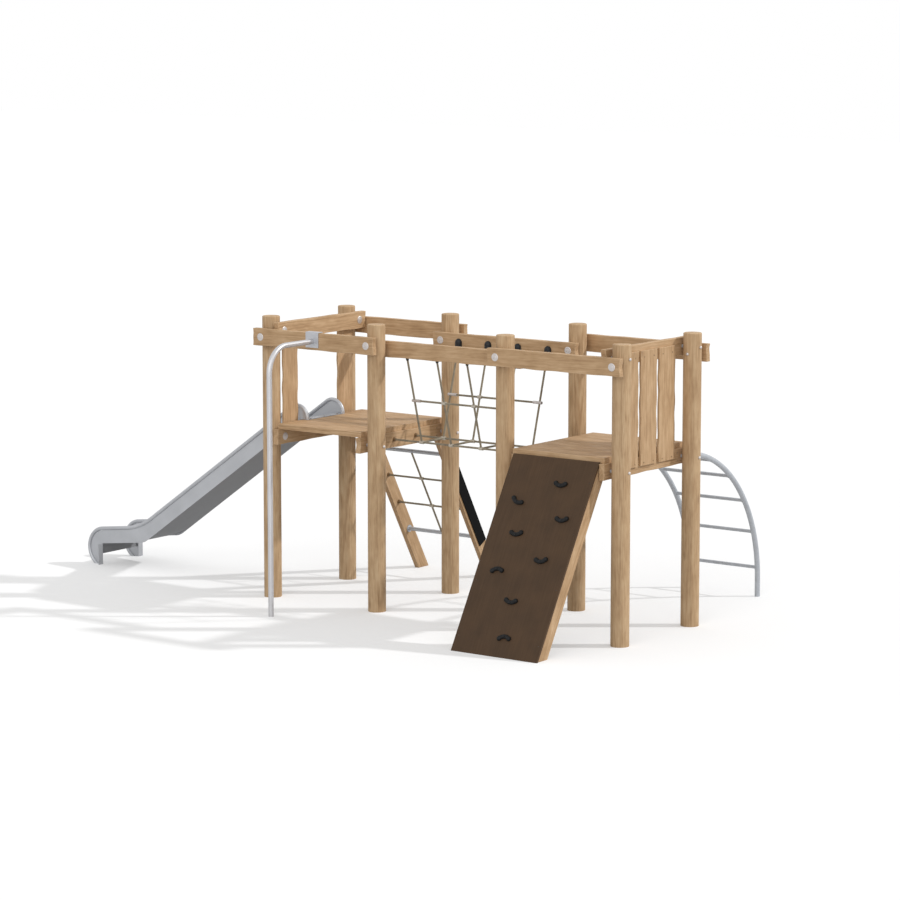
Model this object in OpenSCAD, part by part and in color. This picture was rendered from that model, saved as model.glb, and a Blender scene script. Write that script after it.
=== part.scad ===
// Wooden climbing frame: two timber towers joined by a rope bridge, with a slide, a pole,
// a climbing wall, a rope net and an arched ladder. Millimetres, Z up.
// Origin: centre of the foot of tower A's front left post. X runs along the front row of
// posts from tower A to tower B, and Y runs from the front row to the back row.

/* [Posts] */
// Diameter of each round post
post_d = 140; // [120:1:160]
// Height of each post
post_h = 2240; // [2220:5:2500]
// Rounding of the top edge of each post
post_round = 8; // [3:1:20]
// Distance between a tower's posts along the front row
tower_len = 1043; // [1000:1:1300]
// Distance between the front row and the back row
tower_wid = 958; // [940:1:1200]
// Distance between the two towers' facing posts
bridge_len = 1218; // [1150:1:1600]

/* [Rails and bearers] */
// Thickness of every rail, beam and bearer
plank_t = 45; // [38:1:60]
// Gap that the spacers keep between a post and a plank
standoff = 20; // [19:1:30]
// Height of the guard rails' section
rail_h = 135; // [110:1:150]
// Distance of the middle of the front and back rails below the posts' tops
rail_drop = 157; // [130:1:180]
// Distance of the middle of the side rails below the posts' tops
side_rail_drop = 108; // [90:1:115]
// Length of a front or back rail past the axis of its left post
rail_over_left = 75; // [45:1:90]
// Length of a front or back rail past the axis of its right post
rail_over_right = 73; // [45:1:140]
// Length of a side rail past the axes of its posts
side_over = 80; // [45:1:100]
// Height of the bridge beams' section
beam_h = 124; // [110:1:150]
// Distance of the middle of the bridge beams below the posts' tops
beam_drop = 198; // [190:1:210]
// Length of a bridge beam past the axes of its posts
beam_over = 75; // [45:1:80]
// Height of the bearers' section
bearer_h = 120; // [100:1:150]
// Height of the middle of the bearers
bearer_z = 1296; // [1280:1:1310]
// Length of a bearer past the axes of its posts
bearer_over = 92; // [75:1:110]
// Length of tower B's left bearer past the axis of its front post
bearer_short = 45; // [42:1:85]
// Depth of the natural waves along a plank's edges
live_amp = 2.5; // [0:0.5:6]
// Length of one natural wave
live_pitch = 400; // [250:10:700]
// Depth of the natural waves across a plank's ends
end_amp = 10; // [1:1:12]

/* [Decks] */
// Thickness of the deck boards
deck_t = 42; // [28:1:50]
// Number of boards in each deck
deck_count = 8; // [6:1:10]
// Gap between deck boards
deck_gap = 3; // [2:1:8]
// Length of the deck past the axes of the front and back rows
deck_over = 56; // [40:1:60]
// Width of each bearer's top left bare by the ends of its deck
deck_inset = 20; // [0:1:24]
// Chamfer along the deck boards' edges
deck_chamfer = 2; // [1:1:6]

/* [Side boards] */
// Thickness of the upright side boards
board_t = 18; // [12:1:18]
// Height of the lower ends of the side boards
board_low = 1288; // [1270:1:1300]
// Length of the side boards past the middle of the side rails
board_over = 18; // [13:1:33]
// Width of the two boards beside the slide
slide_board_w = 178; // [160:1:186]
// Distance from a post's axis to the middle of its slide board
slide_board_y = 132; // [124:1:136]
// Width of the three boards of tower B's side wall
wall_board_w = 215; // [180:1:218]
// Distance between the middles of the side wall's boards
wall_board_pitch = 250; // [240:1:256]
// Depth of the waves along the side boards' edges
board_amp = 5; // [0:0.5:8]

/* [Pole] */
// Outer diameter of the pole
pole_d = 42; // [38:1:48]
// Wall of the pole, of the arched rails and of the rungs
tube_wall = 3; // [2:0.5:4]
// Distance of the pole from the front row of posts
pole_out = 660; // [600:1:800]
// Bend radius of the pole's axis
pole_bend = 200; // [150:1:260]
// Width of the bracket that holds the pole
bracket_w = 125; // [90:1:160]
// Thickness of the bracket
bracket_t = 6; // [4:1:10]

/* [Slide] */
// Overall width of the slide
slide_w = 480; // [420:1:490]
// Length of the slide past the axes of tower A's left posts
slide_reach = 2210; // [2150:1:2400]
// Length of the straight run out at the slide's foot
run_out = 278; // [200:1:340]
// Angle of the run out at the slide's foot
exit_angle = 6.5; // [3:0.5:8]
// Height of the slide's sides, down from the top of the rim
cheek_h = 142; // [136:1:148]
// Thickness of the slide's sheet metal
sheet_t = 4; // [2:0.5:5]
// Width of the slide's rim
rim_d = 31; // [24:1:32]
// Radius of the curve between the main run and the run out
valley_r = 540; // [400:10:650]
// Radius of the rounded nose at the slide's foot
nose_r = 180; // [175:1:195]
// Height of the middle of the rounded nose
nose_z = 140; // [125:1:145]
// Width of the slide's feet on the ground
slide_foot = 93; // [85:1:120]
// Width of the flange folded out along the back of each foot
foot_flange = 50; // [30:1:60]

/* [Climbing wall] */
// Gap between the climbing panel and the bearers beside it
panel_gap = 1.5; // [1:0.5:20]
// Thickness of the climbing panel
panel_t = 15; // [12:1:20]
// Lean of the climbing wall and of the net, from upright
lean = 30; // [28:0.5:32]
// Distance of the panel's foot from the front row of posts
wall_foot = 874; // [850:1:890]
// Height of the panel's top above the deck's underside
panel_up = 10; // [0:1:14]
// Thickness of the wall's and the net's stringers
stringer_t = 40; // [36:1:44]
// Distance of the climbing wall's stringers in from the panel's edges
stringer_in = 8; // [7:1:20]
// Width of the climbing wall's stringers
wall_stringer_w = 112; // [100:1:125]
// Middle radius of a bean shaped hold
hold_r = 60; // [50:1:66]
// Thickness of a bean shaped hold
hold_d = 32; // [30:1:38]

/* [Rope net] */
// Width of the net's stringers
net_stringer_w = 120; // [110:1:130]
// Gap between the net's stringers and the bearers beside them
net_gap = 7.5; // [5:0.5:25]
// Distance of the stringers' feet from the back row of posts
net_foot = 863; // [845:1:880]
// Height of the net's upper tube
net_top_z = 1077; // [1040:1:1090]
// Step between the net's tubes and rope rungs, measured upright
net_step = 242; // [200:1:245]
// Diameter of the net's tubes
net_tube_d = 32; // [28:1:40]
// Width of the black covers on the stringers' outer faces
cover_w = 98; // [80:1:105]
// Thickness of the covers
cover_t = 8; // [5:1:10]

/* [Arched ladder] */
// Outer diameter of the arched rails
arch_d = 42; // [38:1:48]
// Distance of the arched rails' axes in from the bearers
arch_in = 66.5; // [46:0.5:106]
// Bend radius of the arched rails' axes
arch_r = 1133; // [1050:1:1150]
// Height of the arched rails' axes where they leave the tower
arch_top = 1269; // [1262:1:1275]
// Distance of the arch's bend centre from the back row of posts
arch_start = 183; // [150:1:300]
// Diameter of the rungs
rung_d = 27; // [24:1:34]
// Number of rungs
rung_count = 5; // [4:1:6]
// Angle of the lowest rung up the bend
rung_first = 5; // [2:0.5:8]
// Angle between rungs
rung_step = 15.4; // [13:0.1:16]

/* [Rope bridge] */
// Diameter of every rope
rope_d = 16; // [14:1:18]
// Number of hanging ropes on each side
hanger_count = 4; // [3:1:5]
// Distance between hanging ropes
hanger_pitch = 284; // [240:1:300]
// Distance between the bridge's two floor ropes
floor_w = 280; // [220:1:340]
// Height of the bridge's floor ropes
floor_z = 1300; // [1280:1:1320]
// Place of the bridge's hand ropes up the hanging ropes, as a share of their length
hand_share = 0.512; // [0.45:0.002:0.6]
// Diameter of the black rope sockets on the beams
socket_d = 62; // [56:1:72]
// Length that a socket's neck reaches down from the middle of the socket
socket_drop = 78; // [66:1:90]

/* [Fasteners] */
// Diameter of the through bolts
bolt_d = 12; // [10:1:14]
// Diameter of the bolts' caps
cap_d = 60; // [45:1:64]
// Outer diameter of the spacers
spacer_d = 26; // [22:1:28]
// Diameter of the nuts
nut_d = 23; // [20:1:26]
// Diameter of the wood screws
screw_d = 6; // [5:0.5:8]
// Play between a bolt, screw or rope and its hole, on the diameter
play = 0.5; // [0.3:0.1:1]

/* [Hidden] */
$fn = 48;
NODES = [
    "post_a_front_left", "post_a_front_right", "post_a_back_left", "post_a_back_right",
    "post_b_front_left", "post_b_front_right", "post_b_back_left", "post_b_back_right",
    "rail_a_front", "rail_a_back", "rail_a_left", "rail_b_front", "rail_b_back", "rail_b_right",
    "bridge_beam_front", "bridge_beam_back",
    "bearer_a_left", "bearer_a_right", "bearer_b_left", "bearer_b_right",
    "header_a_back", "header_b_front", "header_b_back", "deck_a", "deck_b",
    "slide_boards", "wall_boards", "fire_pole", "pole_bracket",
    "slide_bed", "slide_cheek_near", "slide_cheek_far", "slide_rim_near", "slide_rim_far",
    "climbing_panel", "wall_stringer_left", "wall_stringer_right", "wall_battens",
    "climbing_holds", "hold_bolts",
    "net_stringer_left", "net_stringer_right", "net_tubes", "net_ropes",
    "net_covers", "arch_rail_left", "arch_rail_right", "arch_rungs",
    "bridge_hangers", "bridge_hand_ropes", "bridge_floor_ropes", "bridge_cross_ropes",
    "rope_sockets", "rope_sleeves", "tee_ferrules", "rope_anchors",
    "frame_bolts", "frame_nuts", "frame_spacers", "wood_screws"
];

wood = "#b08d64";
dark_wood = "#9c7a54";
steel = "#b4b8bd";
grey_steel = "#9da1a6";
black = "#1f1f21";
panel_brown = "#4e3d2f";
rope_colour = "#8b8169";

// Places of the posts and of the planks' faces
tower_b = tower_len + bridge_len;
far_x = tower_b + tower_len;
mid_y = tower_wid / 2;
mid_a = tower_len / 2;
mid_b = tower_b + tower_len / 2;
post_x = [0, tower_len, tower_b, far_x];
face_in = post_d / 2 + standoff;
face_out = face_in + plank_t;
inner_w = tower_len - 2 * face_out;
rail_z = post_h - rail_drop;
side_rail_z = post_h - side_rail_drop;
beam_z = post_h - beam_drop;
board_top = side_rail_z + board_over;
bearer_low = bearer_z - bearer_h / 2;
bearer_top = bearer_z + bearer_h / 2;
deck_top = bearer_top + deck_t;
skin = 0.2;
beyond = 400;

function post_at(i) = [post_x[(i < 4 ? 0 : 2) + i % 2], i % 4 < 2 ? 0 : tower_wid];
post_names = [for (i = [0:7]) NODES[i]];

// Planks: name, run along x or y, start, length, near face, middle height, height, waved top
rail_run = tower_len + rail_over_left + rail_over_right;
side_run = tower_wid + 2 * side_over;
beam_run = bridge_len + 2 * beam_over;
bearer_run = tower_wid + 2 * bearer_over;
short_run = tower_wid + bearer_over + bearer_short;
planks = [
    ["rail_a_front", "x", -rail_over_left, rail_run, -face_out, rail_z, rail_h, 1],
    ["rail_a_back", "x", -rail_over_left, rail_run, tower_wid + face_in, rail_z, rail_h, 1],
    ["rail_a_left", "y", -side_over, side_run, face_in, side_rail_z, rail_h, 1],
    ["rail_b_front", "x", tower_b - rail_over_left, rail_run, -face_out, rail_z, rail_h, 1],
    ["rail_b_back", "x", tower_b - rail_over_left, rail_run, tower_wid + face_in, rail_z, rail_h, 1],
    ["rail_b_right", "y", -side_over, side_run, far_x - face_out, side_rail_z, rail_h, 1],
    ["bridge_beam_front", "x", tower_len - beam_over, beam_run, face_in, beam_z, beam_h, 1],
    ["bridge_beam_back", "x", tower_len - beam_over, beam_run, tower_wid - face_out, beam_z, beam_h, 1],
    ["bearer_a_left", "y", -bearer_over, bearer_run, face_in, bearer_z, bearer_h, 0],
    ["bearer_a_right", "y", -bearer_over, bearer_run, tower_len - face_out, bearer_z, bearer_h, 0],
    ["bearer_b_left", "y", -bearer_short, short_run, tower_b + face_in, bearer_z, bearer_h, 0],
    ["bearer_b_right", "y", -bearer_over, bearer_run, far_x - face_out, bearer_z, bearer_h, 0]
];

// Bolted joints: post, direction from the post to the plank, height, plank
bolted = [
    [0, 270, rail_z, "rail_a_front"], [1, 270, rail_z, "rail_a_front"],
    [2, 90, rail_z, "rail_a_back"], [3, 90, rail_z, "rail_a_back"],
    [0, 0, side_rail_z, "rail_a_left"], [2, 0, side_rail_z, "rail_a_left"],
    [4, 270, rail_z, "rail_b_front"], [5, 270, rail_z, "rail_b_front"],
    [6, 90, rail_z, "rail_b_back"], [7, 90, rail_z, "rail_b_back"],
    [5, 180, side_rail_z, "rail_b_right"], [7, 180, side_rail_z, "rail_b_right"],
    [1, 90, beam_z, "bridge_beam_front"], [4, 90, beam_z, "bridge_beam_front"],
    [3, 270, beam_z, "bridge_beam_back"], [6, 270, beam_z, "bridge_beam_back"],
    [0, 0, bearer_z, "bearer_a_left"], [2, 0, bearer_z, "bearer_a_left"],
    [1, 180, bearer_z, "bearer_a_right"], [3, 180, bearer_z, "bearer_a_right"],
    [4, 0, bearer_z, "bearer_b_left"], [6, 0, bearer_z, "bearer_b_left"],
    [5, 180, bearer_z, "bearer_b_right"], [7, 180, bearer_z, "bearer_b_right"]
];

// Local Z runs along the bolt, from the post's axis towards the plank
module at_bolt(j) {
    translate([post_at(j[0]).x, post_at(j[0]).y, j[2]]) rotate([0, 0, j[1]]) rotate([0, 90, 0]) children();
}

module bolt_bore(j) {
    at_bolt(j) translate([0, 0, -post_d]) cylinder(d = bolt_d + play, h = post_d + 2 * face_out);
}

module post(i) color(wood) difference() {
    translate([post_at(i).x, post_at(i).y, 0]) rotate_extrude() {
        square([post_d / 2 - post_round, post_h]);
        square([post_d / 2, post_h - post_round]);
        intersection() {
            translate([post_d / 2 - post_round, post_h - post_round]) circle(post_round);
            translate([0, post_h - 2 * post_round]) square([post_d, 3 * post_round]);
        }
    }
    for (j = bolted) if (j[0] == i) bolt_bore(j);
}

// Natural edge of a plank, as a slow wave and a quicker one
function wave(u, seed, pitch) =
    0.6 * sin(360 * u / pitch + 97 * seed) + 0.4 * sin(580 * u / pitch + 53 * seed);

// Depth of a waved end at a share of its height, none at the corners
function end_dip(t, seed) = sin(180 * t) * (0.6 + 0.4 * sin(360 * t + 97 * seed));

// Waved plank: the top edge dips below its line by up to the first depth, the lower edge swings
// either side of its line by the second, and the ends dip in by up to the third
module live_plank(len, high, thick, seed, dip, swing, pitch, ends) {
    steps = ceil(len / 30);
    end_steps = 8;
    top = [for (i = [0:steps], u = [len * i / steps]) [u, high / 2 + dip * (wave(u, seed, pitch) - 1) / 2]];
    low = [for (i = [steps:-1:0], u = [len * i / steps]) [u, -high / 2 + swing * wave(u, seed + 3, pitch)]];
    right = [for (i = [1:end_steps - 1], t = [i / end_steps])
        top[steps] * (1 - t) + low[0] * t - [ends * end_dip(t, seed), 0]];
    left = [for (i = [1:end_steps - 1], t = [i / end_steps])
        low[steps] * (1 - t) + top[0] * t + [ends * end_dip(t, seed + 1), 0]];
    linear_extrude(thick) polygon(ends > 0 ? concat(top, right, low, left) : concat(top, low));
}

module plank(k) {
    p = planks[k];
    color(wood) difference() {
        if (p[1] == "x") translate([p[2], p[4] + plank_t, p[5]]) rotate([90, 0, 0])
            live_plank(p[3], p[6], plank_t, k, live_amp * p[7], live_amp, live_pitch, end_amp);
        else translate([p[4], p[2], p[5]]) rotate([90, 0, 90])
            live_plank(p[3], p[6], plank_t, k, live_amp * p[7], live_amp, live_pitch, end_amp);
        for (j = bolted) if (j[3] == p[0]) bolt_bore(j);
        for (r = deck_rows) if (r[0] == p[0]) deck_screw_row(r[1]) screw_bore(deck_screw_len);
        for (r = board_rows) if (r[0] == p[0]) board_screw_row(r) screw_bore(board_screw_len);
        for (r = lag_rows) if (r[0] == p[0]) lag_pair(r) screw_bore(lag_len);
        if (p[0] == "rail_a_front") bracket_screw_spots() screw_bore(bracket_screw_len);
    }
}

// Decks: board width, places of the boards and of the screws along them
deck_run = tower_wid + 2 * deck_over;
deck_w = (deck_run - (deck_count - 1) * deck_gap) / deck_count;
deck_a_x = [face_in + deck_inset, tower_len - face_in - deck_inset];
deck_b_x = [tower_b + face_in + deck_inset, far_x - face_in - deck_inset];
function deck_y(n) = -deck_over + n * (deck_w + deck_gap);
screw_in = 12;
screw_head = 2 * screw_d;
screw_head_h = 3;
deck_screw_len = deck_t + 40;

// Deck screws: the plank under each row, and the row's place
deck_rows = [
    ["bearer_a_left", face_out - screw_in], ["bearer_a_right", tower_len - face_out + screw_in],
    ["bearer_b_left", tower_b + face_out - screw_in], ["bearer_b_right", far_x - face_out + screw_in]
];
module deck_screw_row(x) {
    for (n = [0:deck_count - 1], e = [0.25, 0.75])
        translate([x, deck_y(n) + e * deck_w, deck_top]) children();
}

module screw(len) {
    translate([0, 0, -screw_head_h]) cylinder(d = screw_head, h = screw_head_h);
    translate([0, 0, -len]) cylinder(d = screw_d, h = len - screw_head_h);
}

module screw_bore(len) {
    translate([0, 0, -screw_head_h - play / 2]) cylinder(d = screw_head + play, h = beyond);
    translate([0, 0, -len - play]) cylinder(d = screw_d + play, h = len);
}

// Board screws: the plank behind each row, the row's tower and its height
board_screw_len = board_t + 25;
board_rows = [
    ["bearer_a_left", "a", bearer_z], ["rail_a_left", "a", side_rail_z - 30],
    ["bearer_b_right", "b", bearer_z + 15], ["rail_b_right", "b", side_rail_z - 30]
];
module board_screw_row(r) {
    if (r[1] == "a") for (y = [slide_board_y, tower_wid - slide_board_y], e = [-0.3, 0.3])
        translate([face_in - board_t, y + e * slide_board_w, r[2]]) rotate([0, -90, 0]) children();
    else for (n = [-1:1], e = [-0.3, 0.3])
        translate([far_x - face_in + board_t, mid_y + n * wall_board_pitch + e * wall_board_w, r[2]])
            rotate([0, 90, 0]) children();
}

module deck(xs, rows) color(wood) difference() {
    for (n = [0:deck_count - 1]) translate([xs[0], deck_y(n), bearer_top]) rotate([90, 0, 90])
        linear_extrude(xs[1] - xs[0]) polygon([
            [0, 0], [deck_w, 0], [deck_w, deck_t - deck_chamfer], [deck_w - deck_chamfer, deck_t],
            [deck_chamfer, deck_t], [0, deck_t - deck_chamfer]
        ]);
    for (r = rows) deck_screw_row(deck_rows[r][1]) screw_bore(deck_screw_len);
    if (xs[0] < tower_len) lip_screw_spots() screw_bore(lip_screw_len);
}

// Headers run between the bearers, under the deck's front or back edge
header_clear = cap_d / 2 + 6;
header_back_y = tower_wid - header_clear;
header_front_y = header_clear;
headers = [
    ["header_a_back", face_out, tower_len - face_out, header_back_y - plank_t],
    ["header_b_front", tower_b + face_out, far_x - face_out, header_front_y],
    ["header_b_back", tower_b + face_out, far_x - face_out, header_back_y - plank_t]
];
lag_len = plank_t + 60;

// Lag screws: the bearer that each pair goes through, its header, and the header's end
lag_rows = [
    ["bearer_a_left", 0, -1], ["bearer_a_right", 0, 1], ["bearer_b_left", 1, -1],
    ["bearer_b_right", 1, 1], ["bearer_b_left", 2, -1], ["bearer_b_right", 2, 1]
];
module lag_pair(r) {
    h = headers[r[1]];
    for (e = [-1, 1])
        translate([r[2] < 0 ? h[1] - plank_t : h[2] + plank_t, h[3] + plank_t / 2, bearer_z + e * bearer_h / 4])
            rotate([0, 90 * r[2], 0]) children();
}

module header(k) color(dark_wood) difference() {
    translate([headers[k][1], headers[k][3], bearer_low])
        cube([headers[k][2] - headers[k][1], plank_t, bearer_h]);
    for (r = lag_rows) if (r[1] == k) lag_pair(r) screw_bore(lag_len);
    if (k == 2) for (e = [-1, 1]) arch_screw_pair(e) screw_bore(arch_screw_len);
}

module side_board(wide, seed) {
    high = board_top - board_low;
    translate([0, 0, high / 2]) rotate([0, -90, 0]) translate([-high / 2, 0, 0])
        live_plank(high, wide + board_amp, board_t, seed, 2 * board_amp, board_amp, live_pitch * 0.7, 0);
}

module slide_boards() color(wood) difference() {
    for (n = [0:1]) translate([face_in, n == 0 ? slide_board_y : tower_wid - slide_board_y, board_low])
        side_board(slide_board_w, 21 + n);
    for (r = [0, 1]) board_screw_row(board_rows[r]) screw_bore(board_screw_len);
}

module wall_boards() color(wood) difference() {
    for (n = [-1:1]) translate([far_x - face_in + board_t, mid_y + n * wall_board_pitch, board_low])
        side_board(wall_board_w, 31 + n);
    for (r = [2, 3]) board_screw_row(board_rows[r]) screw_bore(board_screw_len);
}

// Straight tube or rod between two points
module rod(p, q, d, hollow = 0) {
    v = q - p;
    translate(p) rotate([0, acos(v.z / norm(v)), atan2(v.y, v.x)]) difference() {
        cylinder(d = d, h = norm(v));
        if (hollow > 0) translate([0, 0, -1]) cylinder(d = d - 2 * hollow, h = norm(v) + 2);
    }
}

// Tube bent in an upright plane: centre, axis radius, first angle and sweep, seen from the front
module bend(centre, r, from, sweep, d, hollow = 0) {
    translate(centre) rotate([90, 0, 0]) rotate([0, 0, from]) rotate_extrude(angle = sweep, $fn = 64)
        translate([r, 0]) difference() {
            circle(d = d);
            if (hollow > 0) circle(d = d - 2 * hollow);
        }
}

// Pole: leaves the bracket's front plate and bends down to the ground
bracket_y = -face_out - bracket_t;
module fire_pole() color(steel) {
    rod([mid_a, bracket_y, rail_z], [mid_a, -pole_out + pole_bend, rail_z], pole_d, tube_wall);
    translate([mid_a, 0, 0]) rotate([0, 0, 90])
        bend([-pole_out + pole_bend, 0, rail_z - pole_bend], pole_bend, 90, 90, pole_d, tube_wall);
    rod([mid_a, -pole_out, 0], [mid_a, -pole_out, rail_z - pole_bend], pole_d, tube_wall);
}

bracket_low = rail_z - rail_h / 2 + 19;
bracket_top = rail_z + rail_h / 2;
bracket_screw_len = 30;
module bracket_screw_spots() {
    for (e = [-1, 1]) translate([mid_a + e * bracket_w * 0.35, -face_in + bracket_t, rail_z])
        rotate([-90, 0, 0]) children();
}

module pole_bracket() color(steel) difference() {
    union() {
        translate([mid_a - bracket_w / 2, bracket_y, bracket_low])
            cube([bracket_w, bracket_t, bracket_top - bracket_low]);
        translate([mid_a - bracket_w / 2, bracket_y, bracket_top])
            cube([bracket_w, plank_t + 2 * bracket_t, bracket_t]);
        translate([mid_a - bracket_w / 2, -face_in, rail_z - rail_h / 4])
            cube([bracket_w, bracket_t, bracket_top - rail_z + rail_h / 4]);
    }
    bracket_screw_spots() screw_bore(bracket_screw_len);
}

// Slide profile, in x and z. The rim runs over a rounded hood at the deck, down the main run,
// through the valley, along the run out and round the nose to the ground.
hood_r = 118;
hood_back = 56;
hood_c = [deck_a_x[0] - hood_back, deck_top + 6];
hood_end = 0;
nose_c = [nose_r - slide_reach, nose_z];
function up(a) = [-sin(a), cos(a)];
function along(a) = [cos(a), sin(a)];
valley_c = nose_c + (nose_r + valley_r) * up(exit_angle) + run_out * along(exit_angle);

// The main run touches the hood's circle from above and the valley's circle from below
main_run = valley_c - hood_c;
slide_angle = 180 + atan2(main_run.y, main_run.x) + asin((hood_r + valley_r) / norm(main_run));
function cross2(p, q) = p.x * q.y - p.y * q.x;
function meet(p, d, q, e) = p + d * (cross2(q - p, e) / cross2(d, e));
function arc(c, r, a0, a1, n) = [for (i = [0:n]) c + r * along(a0 + (a1 - a0) * i / n)];
function valley(k) = arc(valley_c, valley_r + k, slide_angle - 90, exit_angle - 90, 8);
function nose(k) = arc(nose_c, nose_r - k, 90 + exit_angle, 180 + asin(nose_z / (nose_r - k)), 12);
function hood(k) =
    let (p = hood_c + (hood_r - k) * along(hood_end), d = along(hood_end - 90))
    concat([p + d * ((deck_top - p.y) / d.y)], arc(hood_c, hood_r - k, hood_end, 90 + slide_angle, 10));

foot_back = nose(0)[12].x + slide_foot;
near_y = mid_y - slide_w / 2 + rim_d / 2;
far_y = mid_y + slide_w / 2 - rim_d / 2;
bed_lip = 165;
lip_r = 60;
apron_low = 85;
deck_edge_clear = 2;

// Sides: sheet inside the rim, down to the underside and to a flanged foot on the ground
under_r = 150;
under_slope = hood_c + (hood_r - cheek_h) * up(slide_angle);
under_exit = nose_c + (nose_r - cheek_h) * up(exit_angle);
under_c = meet(under_slope + under_r * up(slide_angle), along(slide_angle),
               under_exit + under_r * up(exit_angle), along(exit_angle));
cheek_under = meet(under_slope, along(slide_angle), [face_in - deck_edge_clear, 0], [0, 1]);
foot_up = meet(under_exit, along(exit_angle), [foot_back, 0], [0, 1]);
module cheek(y, side) color(grey_steel) {
    translate([0, y + sheet_t / 2, 0]) rotate([90, 0, 0]) linear_extrude(sheet_t) polygon(concat(
        hood(rim_d), valley(rim_d), nose(rim_d),
        [[foot_back, 0], foot_up],
        arc(under_c, under_r, exit_angle - 90, slide_angle - 90, 6),
        [cheek_under, [cheek_under.x, deck_top]]
    ));
    translate([foot_back - sheet_t, y + side * foot_flange / 2 - (foot_flange + sheet_t) / 2, 0])
        cube([sheet_t, foot_flange + sheet_t, foot_up.y - sheet_t]);
}

// Rim: a band round the edge of each side, from the deck to the ground
function rim_line(k) = concat(hood(k), valley(k), nose(k));
module rim(y) color(steel) translate([0, y + rim_d / 2, 0]) rotate([90, 0, 0]) linear_extrude(rim_d)
    polygon(concat(rim_line(0), [for (p = [rim_line(rim_d)], i = [len(p) - 1:-1:0]) p[i]]));

// Bed: two sheets flush with the lower edges of the sides, butted where the run out starts.
// The chute has a lip on the deck, and the run out bends down into an apron between the feet.
bed_depth = cheek_h - sheet_t;
sheet_joint = 0.5;
function chute_line(k) =
    let (lip_c = [meet(hood_c + (hood_r - bed_depth - lip_r) * up(slide_angle), along(slide_angle),
                       [0, deck_top + sheet_t - lip_r], [1, 0]).x, deck_top + sheet_t - lip_r],
         r = lip_r + bed_depth - k)
    concat(
        [[bed_lip, lip_c.y + r]],
        arc(lip_c, r, 90, 90 + slide_angle, 6),
        valley(k)
    );
function run_out_line(k) = concat(
    [valley_c - (valley_r + k) * up(exit_angle) - sheet_joint * along(exit_angle)],
    arc(nose_c, nose_r - k, 90 + exit_angle, 180, 8),
    [[nose_c.x - (nose_r - k), apron_low]]
);
lip_screw_len = sheet_t + 30;
module lip_screw_spots() {
    for (e = [-1, 0, 1])
        translate([bed_lip - 20, mid_y + e * slide_w * 0.35, deck_top + sheet_t + screw_head_h]) children();
}

module bent_sheet(upper, lower) translate([0, far_y - sheet_t / 2, 0]) rotate([90, 0, 0])
    linear_extrude(far_y - near_y - sheet_t)
        polygon(concat(upper, [for (i = [len(lower) - 1:-1:0]) lower[i]]));

module slide_bed() color(grey_steel) {
    difference() {
        bent_sheet(chute_line(bed_depth), chute_line(bed_depth + sheet_t));
        for (y = [near_y, far_y])
            translate([hood(rim_d)[0].x - sheet_t, y - rim_d / 2 - skin, deck_top - sheet_t])
                cube([bed_lip, rim_d + 2 * skin, 4 * sheet_t]);
        lip_screw_spots() screw_bore(lip_screw_len);
    }
    bent_sheet(run_out_line(bed_depth), run_out_line(bed_depth + sheet_t));
}

// Climbing wall. Local Z runs up the slope, and local Y runs from the panel's face into the wall.
module on_wall() translate([mid_b, -wall_foot, 0]) rotate([-lean, 0, 0]) children();

// Block under the ground, which cuts the leaning pieces level
module ground_block() {
    translate([-slide_reach - beyond, -wall_foot - beyond, -beyond])
        cube([far_x + slide_reach + 2 * beyond, tower_wid + wall_foot + net_foot + 2 * beyond, beyond]);
}

// Length of the slope from the ground to the deck's underside
slope_len = bearer_top / cos(lean);
panel_w = inner_w - 2 * panel_gap;
wall_stringer_x = (panel_w - stringer_t) / 2 - stringer_in;
panel_screw_len = panel_t + 50;
module panel_screw_spots() {
    for (e = [-1, 1], s = [0.08, 0.36, 0.64, 0.9])
        on_wall() translate([e * wall_stringer_x, 0, s * slope_len]) rotate([90, 0, 0]) children();
}

// Holds: place across the panel, place as a share of the slope, turn about the bolt
holds = [
    [116, 0.871, 0], [-217, 0.766, -20], [221, 0.699, 5], [-133, 0.605, 5],
    [153, 0.487, 8], [-200, 0.427, 188], [4, 0.271, 0], [45, 0.104, 185]
];
function hold_s(n) = holds[n][1] * slope_len;
hold_bolt_d = 10;
hold_bolt_head = 17;
hold_bolt_head_h = 8;
hold_washer = 24;
hold_sink = 6;
hold_sweep = 87;
hold_out = hold_d / 2 + hold_sink;
module at_hold(h) {
    on_wall() translate([h[0], 0, h[1] * slope_len]) rotate([90, 0, 0]) rotate([0, 0, h[2]]) children();
}

module climbing_panel() color(panel_brown) difference() {
    on_wall() translate([-panel_w / 2, 0, -panel_t]) cube([panel_w, panel_t, slope_len + 5 * panel_t]);
    ground_block();
    translate([tower_b, -beyond, bearer_top + panel_up]) cube([tower_len, 2 * beyond, post_h]);
    for (h = holds) at_hold(h) translate([0, 0, -2 * panel_t])
        cylinder(d = hold_bolt_d + play, h = 4 * panel_t);
    panel_screw_spots() screw_bore(panel_screw_len);
}

// Bean shaped hold: a bent round bar with thicker ball ends, cut flat where it meets the panel
module climbing_holds() color(black) for (h = holds) at_hold(h) difference() {
    translate([0, hold_r, hold_sink]) rotate([0, 0, 270 - hold_sweep / 2]) union() {
        rotate_extrude(angle = hold_sweep) translate([hold_r, 0]) circle(d = hold_d);
        for (a = [0, hold_sweep]) rotate([0, 0, a]) translate([hold_r, 0, 1]) sphere(d = 1.15 * hold_d);
    }
    translate([-2 * hold_d, -2 * hold_d, -2 * hold_d]) cube([4 * hold_d, 4 * hold_d, 2 * hold_d]);
    translate([0, 0, -1]) cylinder(d = hold_bolt_d + play, h = 2 * hold_d);
    translate([0, 0, hold_out - hold_bolt_head_h]) cylinder(d = hold_bolt_head + play, h = hold_d);
}

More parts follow.
